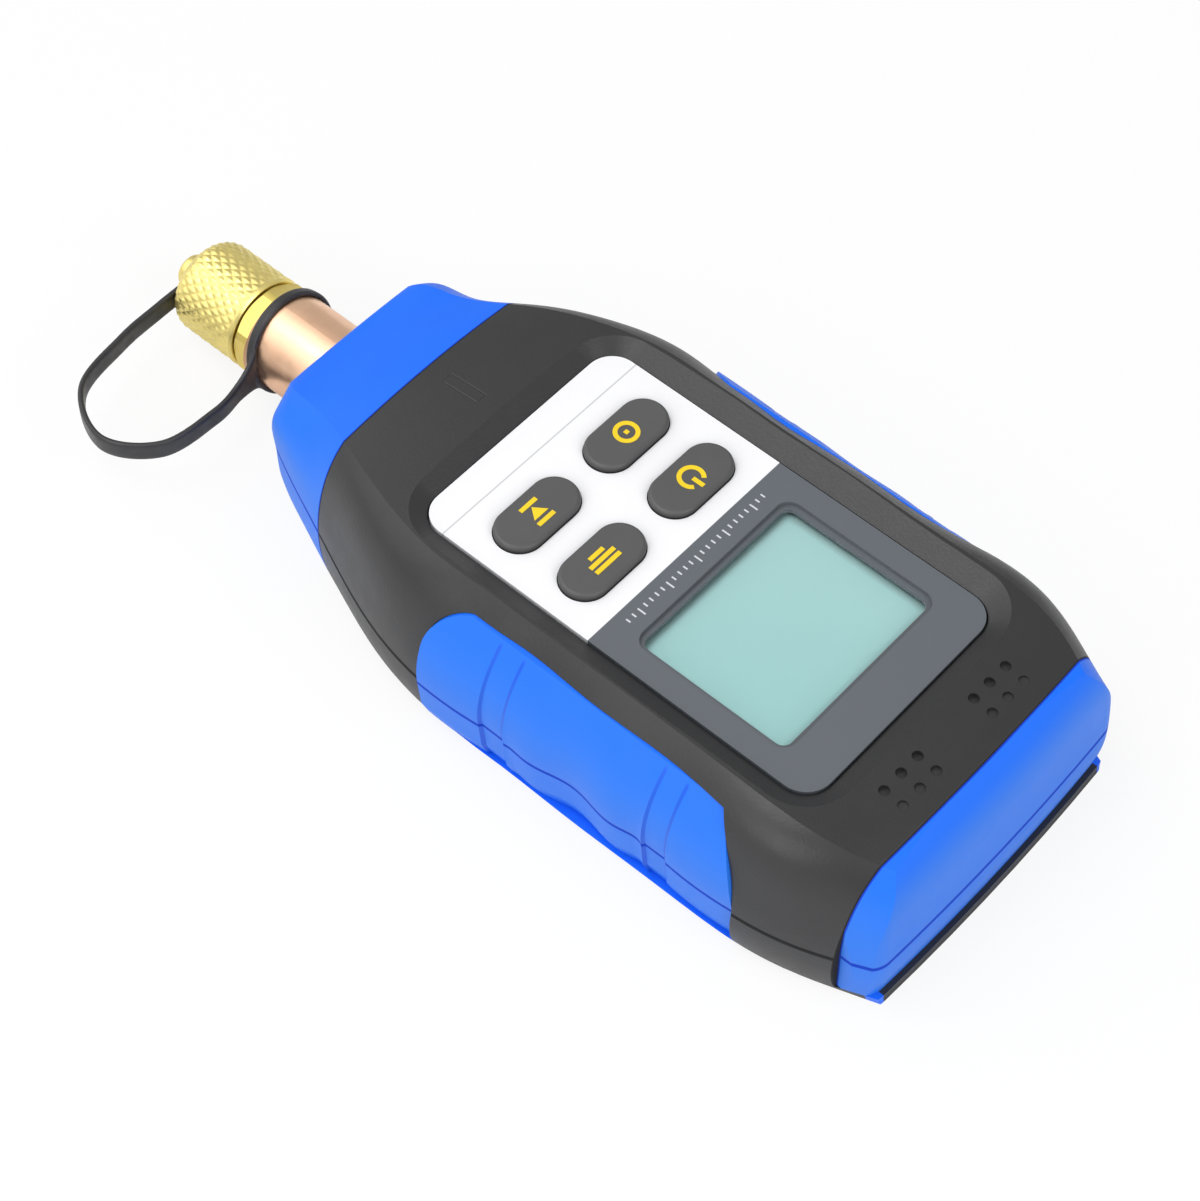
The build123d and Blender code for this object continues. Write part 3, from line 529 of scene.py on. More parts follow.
@dataclass(frozen=True)
class CoverPlastic(Moulding):
    """Blue cover: smooth and satin, with painted light that makes its sides paler than its top."""

    # Painted light: faces that stand upright take this paler side colour, by how far they lean.
    side: Colour = linear("2876e6")
    side_light_lean: Pair = (0.15, 0.85)
    # Painted shade in the foot of each step between the grips' lobes.
    step_shade_width: float = 0.55
    step_shade: float = 0.5
    step_shade_x: Pair = (29.0, 29.6)

    def ground(self, graph: Graph) -> Signal:
        """Paint light on the faces that stand upright, and paint shade in the foot of each step.

        Args:
            graph: The material's tree.

        Returns:
            The colour.
        """
        _, _, up = graph.split(graph.add("ShaderNodeTexCoord", output="Normal"))
        # Painted light: upright faces turn to the paler side colour.
        upright = abs(up).ramp(*self.side_light_lean, 1.0, 0.0)
        base = graph.mix(upright, super().ground(graph), self.side)
        # Painted shade in the foot of each step, in the parting line's colour.
        return graph.mix(self.steps(graph) * self.step_shade, base, self.line_colour)

    def steps(self, graph: Graph) -> Signal:
        """Mask the shade painted in the foot of each step between the grips' lobes.

        Args:
            graph: The material's tree.

        Returns:
            1 in a step's corner and 0 elsewhere.
        """
        x, y, _ = graph.place()
        marks = (y.near(place, self.step_shade_width) for place in GRIP_STEPS_Y)
        return functools.reduce(Signal.most, marks) * abs(x).ramp(*self.step_shade_x)


@dataclass(frozen=True)
class PlatePrint(Finish):
    """Label plate: a white field and a grey one, a thin seam and a plain scale of ticks."""

    grey: Colour = (0.108, 0.121, 0.137)
    border_y: float = 4.5
    border_edge: float = 0.1
    seam_y: float = -23.7
    seam_width: float = 0.2
    seam_depth: float = 0.03
    seam_shade: float = 0.5
    seam_colour: Colour = (0.2, 0.2, 0.21)
    ink: Colour = (0.62, 0.64, 0.67)
    tick_y: float = 6.9
    tick_length: float = 1.5
    tick_short: float = 0.55
    tick_every: int = 5
    tick_pitch: float = 1.25
    tick_reach: float = 15.2
    tick_side: Pair = (0.1, 0.17)
    tick_edge: float = 0.08
    long_reach: Pair = (0.3, 0.32)

    def beat(self, x: Signal, pitch: float) -> Signal:
        """Give the distance to the nearest of a row of even marks, one of which is at zero."""
        return (x / pitch + 0.5).wave() * (pitch / 2)

    def ticks(self, graph: Graph) -> Signal:
        """Mask the scale, in which every fifth tick is a long one.

        Args:
            graph: The material's tree.

        Returns:
            1 on a tick and 0 elsewhere.
        """
        x, y, _ = graph.place()
        half = self.tick_edge / 2
        far_beat = self.beat(x, self.tick_pitch * self.tick_every)
        tall = far_beat.ramp(*self.long_reach, self.tick_length, self.tick_length * self.tick_short)
        up = y - (self.tick_y - self.tick_length / 2)
        upright = up.ramp(-half, half) * (tall - up).ramp(-half, half)
        row = (self.tick_reach - abs(x)).ramp(-half, half)
        return self.beat(x, self.tick_pitch).ramp(*self.tick_side, 1.0, 0.0) * upright * row

    def paint(self, graph: Graph) -> Signal:
        """Lay out the print.

        Args:
            graph: The material's tree.

        Returns:
            The colour.
        """
        _, y, _ = graph.place()
        seam = y.near(self.seam_y, self.seam_width) * self.seam_shade
        base = graph.mix(seam, super().paint(graph), self.seam_colour)
        border = (y - self.border_y).past(-self.border_edge / 2, self.border_edge)
        base = graph.mix(border, base, self.grey)
        return graph.mix(self.ticks(graph), base, self.ink)

    def height(self, graph: Graph) -> Signal:
        """Sink the seam a little."""
        _, y, _ = graph.place()
        return super().height(graph) - y.near(self.seam_y, self.seam_width) * self.seam_depth


@dataclass(frozen=True)
class DisplayGlass(Finish):
    """Reflective display, switched off: pale green grey, with the shadow of its frame painted along its
    edges.
    """

    middle_y: float = 23.4
    half_size: Pair = (16.5, 13.3)
    drift: Pair = (0.03, 0.02)
    drift_range: Pair = (-0.2, 1.1)
    cool: Colour = (0.9, 0.96, 0.96)
    # Painted shadow of the frame along the glass's edges: its reach, strength and colour.
    rim_shadow_range: Pair = (-1.4, 0.3)
    rim_shadow_share: float = 0.45
    rim_shadow_colour: Colour = (0.2, 0.24, 0.25)

    def paint(self, graph: Graph) -> Signal:
        """Paint the frame's shadow on the edges, and drift the tone across the glass.

        Args:
            graph: The material's tree.

        Returns:
            The colour.
        """
        x, y, _ = graph.place()
        across, along = self.half_size
        # Painted shadow of the frame, darkest at the glass's edges.
        rim = (abs(x) - across).most(abs(y - self.middle_y) - along).ramp(*self.rim_shadow_range)
        drift = (x * self.drift[0] + y * self.drift[1]).ramp(*self.drift_range)
        cool = tuple(c * share for c, share in zip(self.colour, self.cool))
        return graph.mix(rim * self.rim_shadow_share, graph.mix(drift, self.colour, cool), self.rim_shadow_colour)


@dataclass(frozen=True)
class ClearLens(Finish):
    """Clear window: mostly see-through, with a reflection that grows at a slant."""

    mirror_roughness: float = 0.04
    mirror_share: float = 0.8
    index: float = 1.45

    def surface(self, graph: Graph) -> Signal:
        """Mix clear glass with its reflection.

        Args:
            graph: The material's tree.

        Returns:
            The mixed shader.
        """
        clear = graph.add("ShaderNodeBsdfTransparent")
        mirror = graph.add("ShaderNodeBsdfGlossy", inputs={"Roughness": self.mirror_roughness})
        slant = graph.add("ShaderNodeFresnel", inputs={"IOR": self.index})
        return graph.add("ShaderNodeMixShader", inputs={0: slant * self.mirror_share, 1: clear, 2: mirror})


@dataclass(frozen=True)
class KeyPlastic(Finish):
    """Key caps: lighter on top than down their sides."""

    side: Colour = (0.02, 0.02, 0.02)
    side_range: Pair = (0.15, 0.9)

    def paint(self, graph: Graph) -> Signal:
        """Darken the sides."""
        _, _, z = graph.place()
        return graph.mix((KEY_TOP_Z - z).ramp(*self.side_range), super().paint(graph), self.side)


@dataclass(frozen=True)
class TurnedMetal(Finish):
    """Turned or drawn metal on the port's axis: fine marks round it, and darker towards its ends."""

    # Darker colour towards the ends: the colour, the ends' places, how far it reaches and how strong it is.
    end_colour: Colour = (0.25, 0.12, 0.06)
    darker_ends: Pair = (-200.0, 200.0)
    end_reach: float = 2.5
    end_share: float = 0.55
    streak: float = 0.5
    streak_stretch: Point = (0.15, 1.0, 0.15)
    streak_share: float = 0.15
    streak_shade: float = 0.8
    groove: float = 0.22
    groove_stretch: Point = (0.1, 1.0, 0.1)

    def paint(self, graph: Graph) -> Signal:
        """Streak the metal and darken it towards its ends.

        Args:
            graph: The material's tree.

        Returns:
            The colour.
        """
        _, y, _ = graph.place()
        low, high = self.darker_ends
        streaks = graph.noise(self.streak, stretch=self.streak_stretch).ramp(*NOISE_RANGE) * self.streak_share
        marked = graph.mix(streaks, super().paint(graph), shade(self.colour, self.streak_shade))
        ends = (y - low).short_of(0.0, self.end_reach).most((high - y).short_of(0.0, self.end_reach))
        return graph.mix(ends * self.end_share, marked, self.end_colour)

    def height(self, graph: Graph) -> Signal:
        """Turn fine grooves round the axis."""
        return graph.noise(self.groove, stretch=self.groove_stretch) * self.relief


@dataclass(frozen=True)
class ThreadedMetal(TurnedMetal):
    """Turned brass with a thread cut on its outer end."""

    pitch: float = 1.27
    thread_y: Pair = (-91.6, -84.4)
    thread_depth: float = 0.5
    run_out: float = 0.3

    def height(self, graph: Graph) -> Signal:
        """Cut the thread as a helix round the axis.

        Args:
            graph: The material's tree.

        Returns:
            The relief in millimetres.
        """
        x, y, z = graph.place()
        start, end = self.thread_y
        turn = x.maths(Maths.ANGLE, z - PORT_Z) * (1 / math.tau)
        inside = (y - start).past(0.0, self.run_out) * (end - y).past(0.0, self.run_out)
        return super().height(graph) + (y / self.pitch + turn).wave() * inside * self.thread_depth


class Slot(Enum):
    """Material slots of the model."""

    SHELL = "black_shell"
    COVER = "blue_cover"
    PLATE = "label_plate"
    WINDOW = "clear_window"
    GLASS = "display_glass"
    HOLDER = "holder_plastic"
    ELASTOMER = "elastomer"
    STRAP = "strap_rubber"
    KEY = "key_plastic"
    SWITCH = "switch_plastic"
    BOARD = "board"
    CELL = "cell_jacket"
    STEEL = "plated_steel"
    CERAMIC = "sensor_ceramic"
    COPPER = "copper"
    BRASS = "brass_plain"
    KNURLED = "brass_knurled"


@dataclass
class Finishes:
    """Every finish, made once."""

    made: dict[Slot, bpy.types.Material] = field(default_factory=dict)

    def build(self) -> None:
        """Make the materials."""
        recipes = {
            Slot.SHELL: ShellPlastic(
                "black_shell", linear("282829"), 0.4,
                grain=0.45, relief=0.03, tone=0.03, wander=0.02, line_colour=linear("050505"),
            ),
            Slot.COVER: CoverPlastic(
                "blue_cover", linear("156df4"), 0.45, gloss=0.3,
                grain=0.7, relief=0.003, tone=0.015, wander=0.015, line_colour=linear("0a3cc0"),
            ),
            Slot.PLATE: PlatePrint(
                "label_plate", linear("eeeef1"), 0.34, relief=0.001, tone=0.005, wander=0.02,
            ),
            Slot.WINDOW: ClearLens("clear_window", (0.9, 0.95, 0.95)),
            Slot.GLASS: DisplayGlass(
                "display_glass", linear("bdebe9"), 0.3, gloss=0.2, relief=0.0, tone=0.01, wander=0.02,
            ),
            Slot.HOLDER: Finish("holder_plastic", linear("c9c8c2"), 0.5),
            Slot.ELASTOMER: Finish("elastomer", linear("2a2a2c"), 0.7),
            Slot.STRAP: Finish("strap_rubber", linear("28282a"), 0.42, grain=0.5, relief=0.004, wander=0.08),
            Slot.KEY: KeyPlastic(
                "key_plastic", linear("4e4e4e"), 0.48, grain=0.4, relief=0.006, tone=0.03, wander=0.02,
            ),
            Slot.SWITCH: Finish("switch_plastic", linear("2c2c2c"), 0.45),
            Slot.BOARD: Finish("board", linear("1d6b3a"), 0.3, gloss=0.6),
            Slot.CELL: Finish("cell_jacket", linear("7c7f86"), 0.3, coat=0.3, relief=0.001),
            Slot.STEEL: TurnedMetal("plated_steel", linear("c9c9c6"), 0.28, 1.0, relief=0.004),
            Slot.CERAMIC: Finish("sensor_ceramic", linear("e6e1d4"), 0.6),
            Slot.COPPER: TurnedMetal(
                "copper", linear("ffcfac"), 0.34, 1.0,
                relief=0.002, darker_ends=(-79.6, -63.6), end_reach=1.8, end_colour=linear("8a5a38"),
            ),
            Slot.BRASS: ThreadedMetal("brass_plain", linear("e6cf74"), 0.36, 1.0, relief=0.004),
            Slot.KNURLED: TurnedMetal("brass_knurled", linear("f0de8c"), 0.4, 1.0, relief=0.003),
        }
        self.made = {slot: recipe.material() for slot, recipe in recipes.items()}

    def dress_nodes(self, frame: dict) -> None:
        """Give every CAD node the material of its slot.
        """
        slots = {sub["node"]: Slot(sub["material_slot"]) for sub in frame["record"]["subparts"]}
        for name, node in frame["nodes"].items():
            for place in node.material_slots:
                place.material = self.made[slots[name]]
            log.info("dressed %s with %s", name, slots[name].value)


def new_object(name: str, data: bpy.types.ID) -> bpy.types.Object:
    """Put a mesh, a lamp or a camera in the scene.

    Args:
        name: The object's name.
        data: What it shows.

    Returns:
        The object, at the origin.
    """
    made = bpy.data.objects.new(name, data)
    bpy.context.scene.collection.objects.link(made)
    return made


def baked(piece: bpy.types.Object, name: str) -> bpy.types.Object:
    """Turn a piece with live modifiers into a plain one, and delete the first.

    Args:
        piece: The object with modifiers.
        name: Name of the plain piece.

    Returns:
        The plain object.
    """
    graph = bpy.context.evaluated_depsgraph_get()
    graph.update()
    mesh = bpy.data.meshes.new_from_object(piece.evaluated_get(graph), depsgraph=graph)
    bpy.data.objects.remove(piece)
    return new_object(name, mesh)


def solid_mesh(name: str, work: bmesh.types.BMesh, smooth: bool = True) -> bpy.types.Mesh:
    """Merge a working mesh, point its faces outwards and store it.

    Args:
        name: Name of the mesh.
        work: The working mesh, in metres, freed here.
        smooth: Whether its faces are shaded smooth.

    Returns:
        The stored mesh.
    """
    bmesh.ops.remove_doubles(work, verts=work.verts, dist=SAME_POINT)
    bmesh.ops.recalc_face_normals(work, faces=work.faces)
    for face in work.faces:
        face.smooth = smooth
    mesh = bpy.data.meshes.new(name)
    work.to_mesh(mesh)
    work.free()
    return mesh


def bridge(work: bmesh.types.BMesh, rings: list[list[bmesh.types.BMVert]]) -> None:
    """Join each ring of points to the next with a row of faces.

    Args:
        work: The mesh to add to.
        rings: Rings of as many points each.
    """
    for first, second in zip(rings, rings[1:]):
        for step in range(len(first)):
            after = (step + 1) % len(first)
            work.faces.new((first[step], first[after], second[after], second[step]))


def lathe(work: bmesh.types.BMesh, profile: Outline, steps: int, turn: Matrix) -> None:
    """Turn a profile round the port's axis.

    Args:
        work: The mesh to add to.
        profile: Points as (place along the axis, radius), in millimetres.
        steps: Divisions of the full turn.
        turn: Placement of the turned shape.
    """
    rings = []
    for along, radius in profile:
        ring = []
        for step in range(steps):
            a = math.tau * step / steps
            spot = turn @ Vector((radius * math.cos(a), along, radius * math.sin(a)))
            ring.append(work.verts.new(spot * MM))
        rings.append(ring)
    bridge(work, rings)


def dress(piece: bpy.types.Object, material: bpy.types.Material) -> None:
    """Make a piece of one material."""
    piece.data.materials.clear()
    piece.data.materials.append(material)


def finish_piece(piece: bpy.types.Object, material: bpy.types.Material, body: str) -> None:
    """Dress a new piece and let it ride.

    Args:
        piece: The piece, at the origin.
        material: Its material.
        body: The body that carries it.
    """
    dress(piece, material)
    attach(piece, body)
    log.info("made %s: %d faces, on %s", piece.name, len(piece.data.polygons), body)


@dataclass
class KnurledCap:
    """Brass cap of the port: a domed barrel with a diamond knurl, a plain front and a knob."""

    radius: float = 8.1
    rim_y: float = -83.8
    front_y: float = -98.2
    dome: float = 3.0
    rim_chamfer: float = 0.4
    bore: float = 5.65
    bore_depth: float = 11.5
    bore_chamfer: float = 0.3
    knob_neck: float = 1.9
    knob_radius: float = 2.9
    knob_chamfer: float = 0.15
    knob_tip_y: float = -101.6
    knob_head: float = 1.8
    knob_round: tuple[Pair, ...] = ((0.7, 0.0), (0.25, 0.3), (0.0, 0.9))
    starts: int = 30
    pitch: float = 2.3
    depth: float = 0.22
    rim_fade: Pair = (0.5, 1.2)
    dome_fade: Pair = (0.6, 2.2)
    columns: int = 300
    rows: int = 110
    seam_weld: float = 0.001
    weld: float = 0.004
    sharp_angle: float = 38.0

    def knurl_tree(self, material: bpy.types.Material) -> bpy.types.NodeTree:
        """Write the tree that wraps a grid round the axis and presses the knurl into it.

        Args:
            material: What the barrel is made of.

        Returns:
            A geometry node tree.
        """
        tree = bpy.data.node_groups.new("diamond_knurl", "GeometryNodeTree")
        sizes = {
            "Radius": self.radius, "Rim": -self.rim_y, "Barrel": self.rim_y - self.front_y - self.dome,
            "Dome": self.dome, "Starts": float(self.starts), "Pitch": self.pitch, "Depth": self.depth,
        }
        for name, value in sizes.items():
            socket = tree.interface.new_socket(name, in_out="INPUT", socket_type="NodeSocketFloat")
            socket.default_value = value
        tree.interface.new_socket("Geometry", in_out="OUTPUT", socket_type="NodeSocketGeometry")
        given = tree.nodes.new("NodeGroupInput").outputs
        radius, rim, barrel, dome, starts, pitch, depth = (Signal(tree, given[name]) for name in sizes)
        graph = Graph(tree)
        cells = {"Size X": 1.0, "Size Y": 1.0, "Vertices X": self.columns + 1, "Vertices Y": self.rows + 1}
        grid = graph.add("GeometryNodeMeshGrid", inputs=cells)
        across, up, _ = graph.split(graph.add("GeometryNodeInputPosition"))
        length = barrel + dome * (math.pi / 2)
        share = across + 0.5
        run = (up + 0.5) * length
        angle = share * math.tau
        tilt = (run - barrel).most(0.0) / dome
        along = run.least(barrel) + dome * tilt.maths(Maths.SINE)
        round_off = dome - dome * tilt.maths(Maths.COSINE)
        rising, falling = (share * starts + run / pitch).wave(), (share * starts - run / pitch).wave()
        fade = run.ramp(*self.rim_fade) * (length - run).ramp(*self.dome_fade)
        groove = (1.0 - rising.least(falling)) * depth * fade
        out = radius - round_off - groove - (self.rim_chamfer - run).most(0.0)
        spot = {
            0: out * angle.maths(Maths.COSINE) * MM,
            1: (along * -1.0 - rim) * MM,
            2: (out * angle.maths(Maths.SINE) + PORT_Z) * MM,
        }
        place = graph.add("ShaderNodeCombineXYZ", inputs=spot)
        moved = graph.add("GeometryNodeSetPosition", inputs={"Geometry": grid, "Position": place})
        weld = {"Geometry": moved, "Distance": self.seam_weld * MM}
        welded = graph.add("GeometryNodeMergeByDistance", inputs=weld)
        real = graph.add("GeometryNodeRealizeInstances", inputs={"Geometry": welded})
        dressed = graph.add("GeometryNodeSetMaterial", inputs={"Geometry": real, "Material": material})
        graph.end("NodeGroupOutput", dressed)
        return tree

    def profiles(self) -> tuple[Outline, Outline]:
        """List the plain rest of the cap: from the dome's edge over the knob, and from the seat to the rim.

        Returns:
            Two profiles of points as (place along the axis, radius).
        """
        seat_y = self.rim_y - self.bore_depth
        head_y = self.knob_tip_y + self.knob_head
        outside = [
            (self.front_y, self.radius - self.dome),
            (self.front_y, self.knob_neck),
            (head_y, self.knob_neck),
            (head_y, self.knob_radius - self.knob_chamfer),
            (head_y - self.knob_chamfer, self.knob_radius),
            *((self.knob_tip_y + back, self.knob_radius - inward) for back, inward in self.knob_round),
            (self.knob_tip_y, 0.0),
        ]
        inside = [
            (seat_y, 0.0),
            (seat_y, self.bore),
            (self.rim_y - self.bore_chamfer, self.bore),
            (self.rim_y, self.bore + self.bore_chamfer),
            (self.rim_y, self.radius - self.rim_chamfer),
        ]
        return outside, inside

    def build(self, material: bpy.types.Material) -> None:
        """Make the cap in the model's place.

        Args:
            material: Knurled brass.
        """
        carrier = new_object("knurl_grid", bpy.data.meshes.new("knurl_grid"))
        carrier.modifiers.new("knurl", "NODES").node_group = self.knurl_tree(material)
        barrel = baked(carrier, "knurl_barrel")
        work = bmesh.new()
        work.from_mesh(barrel.data)
        bpy.data.objects.remove(barrel)
        for profile in self.profiles():
            lathe(work, profile, self.columns, Matrix.Translation((0, 0, PORT_Z)))
        bmesh.ops.remove_doubles(work, verts=work.verts, dist=self.weld * MM)
        mesh = solid_mesh("port_cap_knurled", work)
        mesh.set_sharp_from_angle(angle=math.radians(self.sharp_angle))
        cap = new_object("port_cap_knurled", mesh)
        finish_piece(cap, material, "cap")
        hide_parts("port_cap")


@dataclass
class Tether:
    """Rubber tether: a ring that leans on the tube, a band that flares from it, and a ring on the knob."""

    path: tuple[Pair, ...] = (
        (7.7, -78.1), (12.6, -77.2), (18.5, -76.4), (28.6, -77.9), (34.1, -86.0),
        (29.2, -95.6), (18.0, -98.4), (9.0, -98.9), (3.0, -99.0),
    )
    sag: float = 0.5
    thickness: float = 1.0
    width: float = 3.6
    flare: float = 9.6
    flare_end: float = 0.17
    squareness: Pair = (0.5, 0.35)
    ring_radii: Pair = (8.16, 8.95)
    ring_width: float = 1.8
    ring_lean: float = 10.0
    ring_y: float = -78.2
    knob_ring_radii: Pair = (2.0, 3.6)
    knob_ring_y: float = -99.0
    ring_soft: float = 0.3
    ring_steps: int = 120
    stations: int = 120
    corners: int = 16
    look_ahead: float = 0.002
    voxel: float = 0.17
    smoothing: float = 0.5
    smoothing_rounds: int = 4
    follow_y: Pair = (-81.5, -96.5)

    def line(self, share: float) -> Vector:
        """Find a point of the band's middle line, smoothly through its path.

        Args:
            share: From 0 at the tube to 1 at the knob.

        Returns:
            The point in plan, in millimetres.
        """
        spans = len(self.path) - 1
        index = min(int(share * spans), spans - 1)
        t = share * spans - index
        p = [Vector(self.path[max(0, min(spans, index + k))]) for k in (-1, 0, 1, 2)]
        return 0.5 * (
            2 * p[1] + (p[2] - p[0]) * t + (2 * p[0] - 5 * p[1] + 4 * p[2] - p[3]) * t**2
            + (3 * p[1] - p[0] - 3 * p[2] + p[3]) * t**3
        )

    def add_band(self, work: bmesh.types.BMesh) -> None:
        """Sweep the band's rounded section along its line.

        Args:
            work: The mesh to add to.
        """
        square_off, square_up = self.squareness
        rings = []
        for station in range(self.stations + 1):
            share = station / self.stations
            here = self.line(share)
            before, after = max(0.0, share - self.look_ahead), min(1.0, share + self.look_ahead)
            ahead = self.line(after) - self.line(before)
            across = Vector((-ahead.y, ahead.x)).normalized()
            spread = max(0.0, 1 - share / self.flare_end) ** 2
            half = self.width / 2 + (self.flare - self.width) / 2 * spread
            middle_z = PORT_Z - self.sag * (1 - spread)
            ring = []
            for corner in range(self.corners):
                a = math.tau * (corner + 0.5) / self.corners
                c, s = math.cos(a), math.sin(a)
                off = math.copysign(abs(c) ** square_off, c) * self.thickness / 2
                up = math.copysign(abs(s) ** square_up, s) * half
                spot = Vector((here.x + across.x * off, here.y + across.y * off, middle_z + up))
                ring.append(work.verts.new(spot * MM))
            rings.append(ring)
        bridge(work, rings)
        work.faces.new(rings[0])
        work.faces.new(rings[-1])

    def add_ring(
        self, work: bmesh.types.BMesh, radii: Pair, width: float, middle_y: float, lean: float
    ) -> None:
        """Turn a ring with a softened section.

        Args:
            work: The mesh to add to.
            radii: Inner and outer radius.
            width: Its width along the axis.
            middle_y: Place of its middle.
            lean: Its lean back from upright, in degrees.
        """
        inner, outer = radii
        soft = min(self.ring_soft, (outer - inner) / 3)
        half = width / 2
        section = [
            (-half, inner), (-half, outer - soft), (-half + soft, outer), (half - soft, outer),
            (half, outer - soft), (half, inner), (-half, inner),
        ]
        turn = Matrix.Translation((0, middle_y, PORT_Z)) @ Matrix.Rotation(math.radians(lean), 4, "X")
        lathe(work, section, self.ring_steps, turn)

    def build(self, material: bpy.types.Material) -> None:
        """Make the tether in one moulding.

        Args:
            material: Its rubber.
        """
        work = bmesh.new()
        self.add_band(work)
        self.add_ring(work, self.ring_radii, self.ring_width, self.ring_y, self.ring_lean)
        self.add_ring(work, self.knob_ring_radii, self.thickness, self.knob_ring_y, 0.0)
        rough = new_object("tether_rough", solid_mesh("tether", work))
        remesh = rough.modifiers.new("weld", "REMESH")
        remesh.mode = "VOXEL"
        remesh.voxel_size = self.voxel * MM
        smooth = rough.modifiers.new("smooth", "SMOOTH")
        smooth.factor = self.smoothing
        smooth.iterations = self.smoothing_rounds
        tether = baked(rough, "tether")
        for face in tether.data.polygons:
            face.use_smooth = True
        dress(tether, material)
        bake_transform(tether)
        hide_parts("cap_strap")
        log.info("made tether: %d faces, from housing to cap_washer", len(tether.data.polygons))


@dataclass
class KeyMarks:
    """Yellow marks on the keys: the standard power sign and three plain shapes."""

    key_x: float = 9.9
    rows: Pair = (-15.6, -2.9)
    thickness: float = 0.06
    sink: float = 0.02
    stroke: float = 0.74
    colour: Colour = linear("f0cd1e")
    arc_steps: int = 40
    dot_ring: float = 1.72
    dot_ring_end: float = 359.0
    power_ring: float = 1.849
    power_gap: float = 38.0
    power_stem: Pair = (2.1, 1.333)
    arrow: tuple[Pair, ...] = ((-1.5, 0.9), (0.0, -1.1), (1.5, 0.9))
    arrow_bars: tuple[Pair, ...] = ((3.4, -1.75), (3.4, 1.85))
    list_bars: tuple[Pair, ...] = ((5.2, 1.15), (5.2, 0.0), (3.0, -1.15))

    def raise_outline(self, work: bmesh.types.BMesh, points: Outline, middle: Pair) -> None:
        """Raise a flat outline to the print's thickness.

        Args:
            work: The mesh to add to.
            points: Closed outline round the mark's own middle, in millimetres.
            middle: The key's middle.
        """
        across, along = middle
        low, high = (
            [work.verts.new(Vector((across + x, along + y, z)) * MM) for x, y in points]
            for z in (KEY_TOP_Z - self.sink, KEY_TOP_Z + self.thickness)
        )
        work.faces.new(reversed(low))
        work.faces.new(high)
        bridge(work, [low, high])

    def arc(self, radius: float, start: float, end: float) -> Outline:
        """Outline a stroke that follows an arc.

        Args:
            radius: Radius of its middle line.
            start: First angle in degrees.
            end: Last angle in degrees.

        Returns:
            Its closed outline.
        """
        angles = [math.radians(start + (end - start) * i / self.arc_steps) for i in range(self.arc_steps + 1)]
        outer, inner = radius + self.stroke / 2, radius - self.stroke / 2
        return [(outer * math.cos(a), outer * math.sin(a)) for a in angles] + [
            (inner * math.cos(a), inner * math.sin(a)) for a in reversed(angles)
        ]

    def bar(self, width: float, height: float, y: float = 0.0) -> Outline:
        """Outline a plain bar."""
        w, h = width / 2, height / 2
        return [(-w, y - h), (w, y - h), (w, y + h), (-w, y + h)]

    def shapes(self) -> dict[str, tuple[Pair, list[Outline]]]:
        """Lay out every key's mark.

        Returns:
            For each key's name, its middle and its outlines.
        """
        low, high = self.rows
        wide = self.stroke
        stem, stem_y = self.power_stem
        dot = [self.arc(self.dot_ring, 0, self.dot_ring_end), self.bar(wide, wide)]
        arrow = [list(self.arrow), *(self.bar(length, wide, y) for length, y in self.arrow_bars)]
        opening = self.arc(self.power_ring, 90 + self.power_gap, 90 + 360 - self.power_gap)
        rows = [self.bar(length, wide, y) for length, y in self.list_bars]
        return {
            "set": ((-self.key_x, low), dot),
            "save": ((self.key_x, low), arrow),
            "power": ((-self.key_x, high), [opening, self.bar(wide, stem, stem_y)]),
            "unit": ((self.key_x, high), rows),
        }

    def build(self) -> None:
        """Make one mark for each key."""
        paint = Finish("key_mark_print", self.colour, 0.4, relief=0.001, tone=0.03).material()
        for key, (middle, outlines) in self.shapes().items():
            work = bmesh.new()
            for outline in outlines:
                self.raise_outline(work, outline, middle)
            mark = new_object(f"mark_{key}", solid_mesh(f"mark_{key}", work, smooth=False))
            finish_piece(mark, paint, f"key_{key}")


@dataclass(frozen=True)
class Lamp:
    """Soft square lamp that looks at the gauge. Metres and watts."""

    name: str
    place: Point
    size: float
    power: float

    def hang(self) -> None:
        """Hang the lamp and turn it to the gauge."""
        data = bpy.data.lights.new(self.name, "AREA")
        data.size = self.size
        data.energy = self.power
        lamp = new_object(self.name, data)
        lamp.location = self.place
        lamp.rotation_euler = Vector(self.place).to_track_quat("Z", "Y").to_euler()


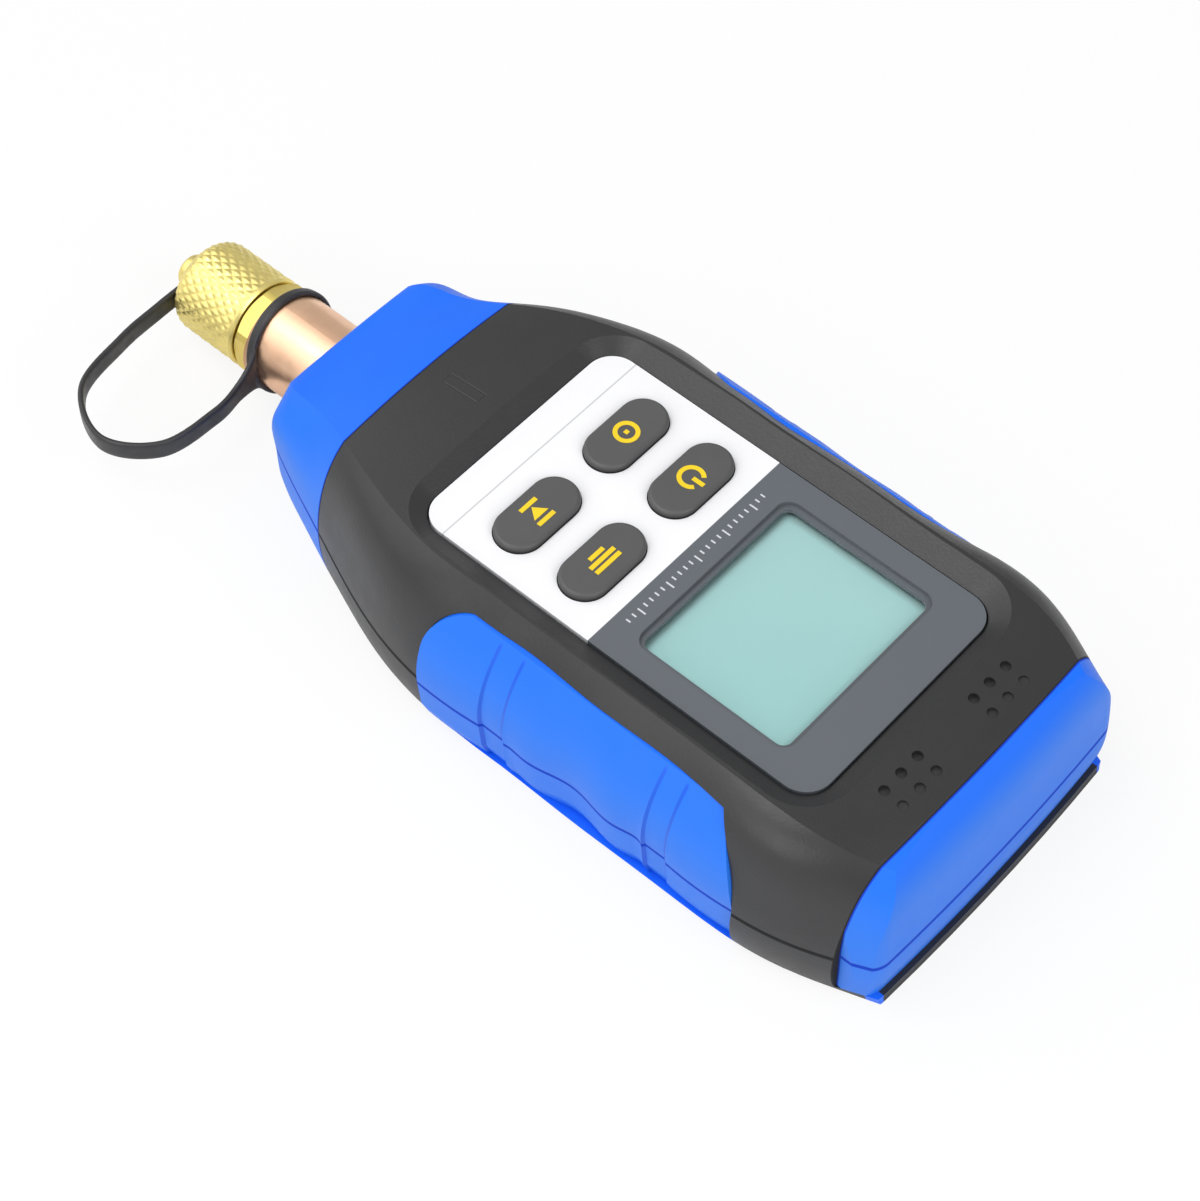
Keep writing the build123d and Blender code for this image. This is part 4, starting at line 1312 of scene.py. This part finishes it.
@dataclass
class Studio:
    """Camera at the photograph's angle, soft lamps and a pale floor."""

    azimuth: float = 130.868
    elevation: float = 54.783
    roll: float = 0.757
    camera_place: Point = (202.36, 163.29, 378.62)
    focal_pixels: float = 3000.0
    sensor: float = 36.0
    clip: Pair = (0.01, 20.0)
    lamps: tuple[Lamp, ...] = (
        Lamp("tail_lamp", (0.05, 0.62, 0.5), 0.5, 2.8),
        Lamp("top_lamp", (0.22, -0.2, 0.85), 0.45, 2.3),
        Lamp("side_lamp", (0.75, 0.0, 0.4), 0.5, 2.0),
        Lamp("front_panel", (0.25, -0.75, 0.75), 1.3, 5.5),
    )
    world_light: float = 0.34
    mirror_light: float = 0.55
    white: Colour = (1.0, 1.0, 1.0)
    floor_colour: Colour = (0.86, 0.86, 0.86)
    floor_white: float = 0.86
    floor_reach: float = 2.0
    floor_z: float = -0.05

    def aim(self) -> Matrix:
        """Work out the camera's matrix from its two angles and its roll.

        Returns:
            The camera's world matrix.
        """
        a, e, r = (math.radians(v) for v in (self.azimuth, self.elevation, self.roll))
        back = Vector((math.sin(a) * math.cos(e), -math.cos(a) * math.cos(e), math.sin(e)))
        level = (-back).cross(Vector((0, 0, 1))).normalized()
        upright = level.cross(-back)
        right = math.cos(r) * level + math.sin(r) * upright
        up = math.cos(r) * upright - math.sin(r) * level
        turn = Matrix((right, up, back)).transposed().to_4x4()
        return Matrix.Translation(Vector(self.camera_place) * MM) @ turn

    def place_camera(self) -> None:
        """Make the camera and frame the photograph."""
        data = bpy.data.cameras.new("camera")
        data.sensor_width = self.sensor
        data.lens = self.focal_pixels / max(PHOTO_SIZE) * self.sensor
        data.clip_start, data.clip_end = self.clip
        camera = new_object("camera", data)
        camera.matrix_world = self.aim()
        bpy.context.scene.camera = camera

    def light_world(self) -> None:
        """Light plainly, and show white to the camera and in reflections."""
        world = bpy.data.worlds.new("studio")
        bpy.context.scene.world = world
        graph = blank(world)
        seen = graph.add("ShaderNodeLightPath", output="Is Camera Ray")
        mirrored = graph.add("ShaderNodeLightPath", output="Is Glossy Ray")
        base = self.world_light
        strength = seen * (1.0 - base) + mirrored * (self.mirror_light - base) + base
        inputs = {"Color": self.white, "Strength": strength}
        graph.end("ShaderNodeOutputWorld", graph.add("ShaderNodeBackground", inputs=inputs))

    def floor_material(self) -> bpy.types.Material:
        """Make the floor: white to the camera, with the gauge's soft shadow.

        Returns:
            The material.
        """
        material = bpy.data.materials.new("floor")
        graph = blank(material)
        seen = graph.add("ShaderNodeLightPath", output="Is Camera Ray") * self.floor_white
        plain = graph.add("ShaderNodeBsdfDiffuse", inputs={"Color": self.floor_colour})
        white = graph.add("ShaderNodeEmission", inputs={"Color": self.white, "Strength": 1.0})
        both = graph.add("ShaderNodeMixShader", inputs={0: seen, 1: plain, 2: white})
        graph.end("ShaderNodeOutputMaterial", both)
        return material

    def lay_floor(self) -> None:
        """Lay the pale floor under the gauge, a hair below it."""
        mesh = bpy.data.meshes.new("floor")
        reach = self.floor_reach
        corners = [(-reach, -reach), (reach, -reach), (reach, reach), (-reach, reach)]
        mesh.from_pydata([(x, y, self.floor_z * MM) for x, y in corners], [], [(0, 1, 2, 3)])
        floor = new_object("floor", mesh)
        dress(floor, self.floor_material())

    def build(self) -> None:
        """Set up everything that is not the gauge."""
        self.place_camera()
        for lamp in self.lamps:
            lamp.hang()
        self.light_world()
        self.lay_floor()
        bpy.context.scene.view_settings.view_transform = "Standard"


def main() -> None:
    """Build the gauge's looks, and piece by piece."""
    logging.basicConfig(level=logging.INFO, format="%(message)s")
    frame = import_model()
    finishes = Finishes()
    finishes.build()
    finishes.dress_nodes(frame)
    KeyMarks().build()
    KnurledCap().build(finishes.made[Slot.KNURLED])
    Tether().build(finishes.made[Slot.STRAP])
    Studio().build()


if __name__ == "__main__":
    main()
